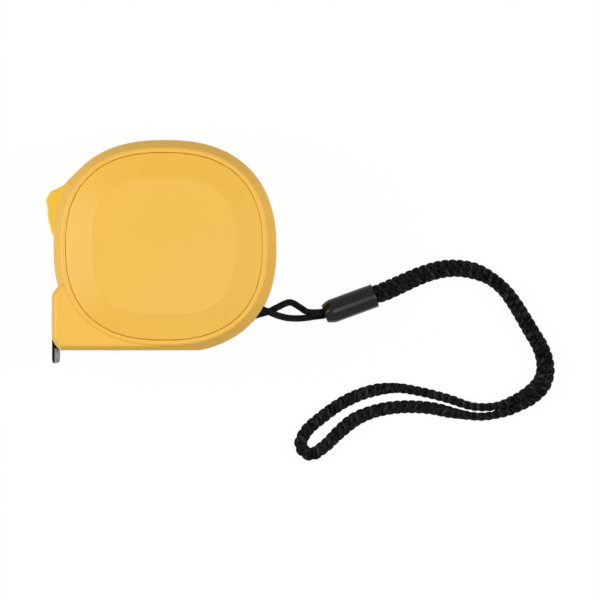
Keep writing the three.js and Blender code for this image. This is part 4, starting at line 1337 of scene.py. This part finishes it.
def cup_arc(radius, half_angle, steps=24):
    """An arc across the blade's cup, from one side to the other."""
    points = []
    for i in range(steps + 1):
        turn = half_angle * (2 * i / steps - 1)
        points.append(Vector((radius * math.sin(turn), cup_centre_y - radius * math.cos(turn))))
    return points


def quarter_arc(middle, radius, quarter, steps):
    """A quarter of a circle, counter-clockwise. The first quarter starts on the right."""
    turns = [math.pi / 2 * (quarter + i / steps) for i in range(steps + 1)]
    return [middle + radius * Vector((math.cos(turn), math.sin(turn))) for turn in turns]


def hook_mesh():
    """The plate and the tab in one, with the holes cut out."""
    half_angle = math.asin(hook_half_width / tab_outer_radius)
    top = cup_arc(tab_inner_radius, half_angle)
    bottom = hook_low.y
    plate_outline = []
    for way, quarter in ((-1, 2), (1, 3)):
        corner = Vector((way * (top[-1].x - hook_corner), bottom + hook_corner))
        plate_outline += quarter_arc(corner, hook_corner, quarter, 8)
    plate_outline += top[::-1]
    tab_outline = cup_arc(tab_outer_radius, half_angle) + top[::-1]
    plate = prism(plate_outline, hook_low.x, hook_inner_x, hook_edge_rounding, 3)
    tab = prism(tab_outline, hook_low.x, hook_high.x, hook_edge_rounding, 3)
    for sheet in (plate, tab):
        sheet.transform(along_x)
    through = (hook_low.x - wall, hook_inner_x + wall)
    nail_heights = (nail_y - nail_half_height, nail_y + nail_half_height)
    cuts = [
        block(through, nail_heights, both_ways(nail_half_width)),
        block(through, (bottom - wall, bottom + notch_depth), both_ways(notch_half_width)),
    ]
    slot_x = (-rivet_slot_half, rivet_slot_half + hook_float)
    slot_y = (-1.2 * cup_radius, -0.8 * cup_radius)
    for way in (-1, 1):
        tilted = Matrix.Rotation(way * rivet_tilt, 4, "X")
        place = Matrix.Translation((rivet_x, cup_centre_y, 0)) @ tilted
        cuts.append(block(slot_x, slot_y, both_ways(rivet_slot_half), place))
    mesh = joined(joined(plate, [tab], "UNION"), cuts, "DIFFERENCE")
    mesh.name = "hook_plate"
    mesh.transform(to_middle)
    return mesh


def hook_material():
    """Brushed bare steel; the edges facing along Z are painted near-black, a painted dark reflection."""
    dark_reflection_facing = 0.6
    painted_reflection_black = (0.002, 0.002, 0.0025)
    face_roughness = 0.4
    stroke_length = 0.001
    stroke_fineness = 2500.0
    stroke_depth = 0.01 * mm
    material, tree, shader = principled("hook_steel", Specular_IOR_Level=0.08)
    brush = brush_masks(tree, stroke_length, stroke_fineness)
    facing = add(tree, "ShaderNodeTexCoord").outputs["Normal"]
    sideways = add(tree, "ShaderNodeSeparateXYZ", {0: facing}).outputs["Z"]
    # Painted dark reflection: the edges that face along Z are near-black and not metallic.
    edge = calc(tree, "GREATER_THAN", calc(tree, "ABSOLUTE", sideways), dark_reflection_facing)
    face = calc(tree, "SUBTRACT", 1.0, edge)
    bare = mix_colour(tree, brush["Stain"], (0.086, 0.081, 0.124), (0.145, 0.138, 0.193))
    colour = mix_colour(tree, face, painted_reflection_black, bare)
    rough = brushed_roughness(tree, brush["Strokes"], face_roughness)
    links = {"Base Color": colour, "Metallic": face, "Roughness": rough}
    surface(tree, shader, brush["Strokes"], 0.5, stroke_depth, links)
    return material


hook = finished(hook_mesh(), hook_material())
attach(hook, "hook")
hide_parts("end_hook")


# Hook rivets
# Two domed steel rivets hold the hook's tab under the blade and let it slide by its slots.
rivet_head_radius = 1.6 * mm
rivet_shank_radius = 0.8 * mm
rivet_gap = 0.02 * mm
rivet_over = blade_thickness / 2 + rivet_gap
rivet_under = -(tab_outer_radius - cup_radius + rivet_gap)
rivet_dome = 0.62 * mm
rivet_sides = 28
dome_steps = 7

dome_profile = []
for i in range(dome_steps):
    turn = math.pi / 2 * i / dome_steps
    dome_profile.append((rivet_head_radius * math.cos(turn), rivet_dome * math.sin(turn)))
rivet_profile = [(radius, rivet_under - height) for radius, height in dome_profile[::-1]]
rivet_profile += [(rivet_shank_radius, rivet_under), (rivet_shank_radius, rivet_over)]
rivet_profile += [(radius, rivet_over + height) for radius, height in dome_profile]
rivet_aims = [Vector((0, math.cos(rivet_tilt), way * math.sin(rivet_tilt))) for way in (1, -1)]
cup_centre = Vector((rivet_x, cup_centre_y, case_middle))
rivet_places = [cup_centre - cup_radius * aim for aim in rivet_aims]
rivet = lathed("rivet", rivet_profile, rivet_sides)
rivets = fixing_set("hook_rivets", rivet, rivet_places, rivet_aims, 0.0, bright_steel)
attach(rivets, "blade")
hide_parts("hook_rivet_1", "hook_rivet_2")


# Hook stop
# A small pad of black rubber in the recess of the nose, which takes the knock when the blade runs in.
stop_low, stop_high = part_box("hook_bumper")
stop_half_width = (stop_high.z - stop_low.z) / 2
stop_corner = 0.6 * mm
stop_rounding = 0.25 * mm

black_rubber = plastic(
    "black_rubber", (0.008, 0.008, 0.009), (0.016, 0.016, 0.018), 0.78, 0.02 * mm, grain_scale=2600.0
)
stop_side = stop_half_width - stop_corner
stop_top = stop_high.y - stop_corner
stop_bottom = stop_low.y + stop_corner
stop_corners = [
    (stop_side, stop_top), (-stop_side, stop_top), (-stop_side, stop_bottom), (stop_side, stop_bottom),
]
stop_outline = []
for quarter, corner in enumerate(stop_corners):
    stop_outline += quarter_arc(Vector(corner), stop_corner, quarter, 6)
stop_mesh = prism(stop_outline, stop_low.x, stop_high.x, stop_rounding, 4)
stop_mesh.name = "hook_stop"
stop_mesh.transform(to_middle @ along_x)
hook_stop = finished(stop_mesh, black_rubber)
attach(hook_stop, "case")
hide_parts("hook_bumper")


# Brake and lanyard pin
# The nylon slide behind the thumb lock with its rubber foot, and the steel pin across the rear corner.
dress("lock_slider", white_nylon)
dress("brake_pad", black_rubber)
dress("lanyard_pin", bright_steel)
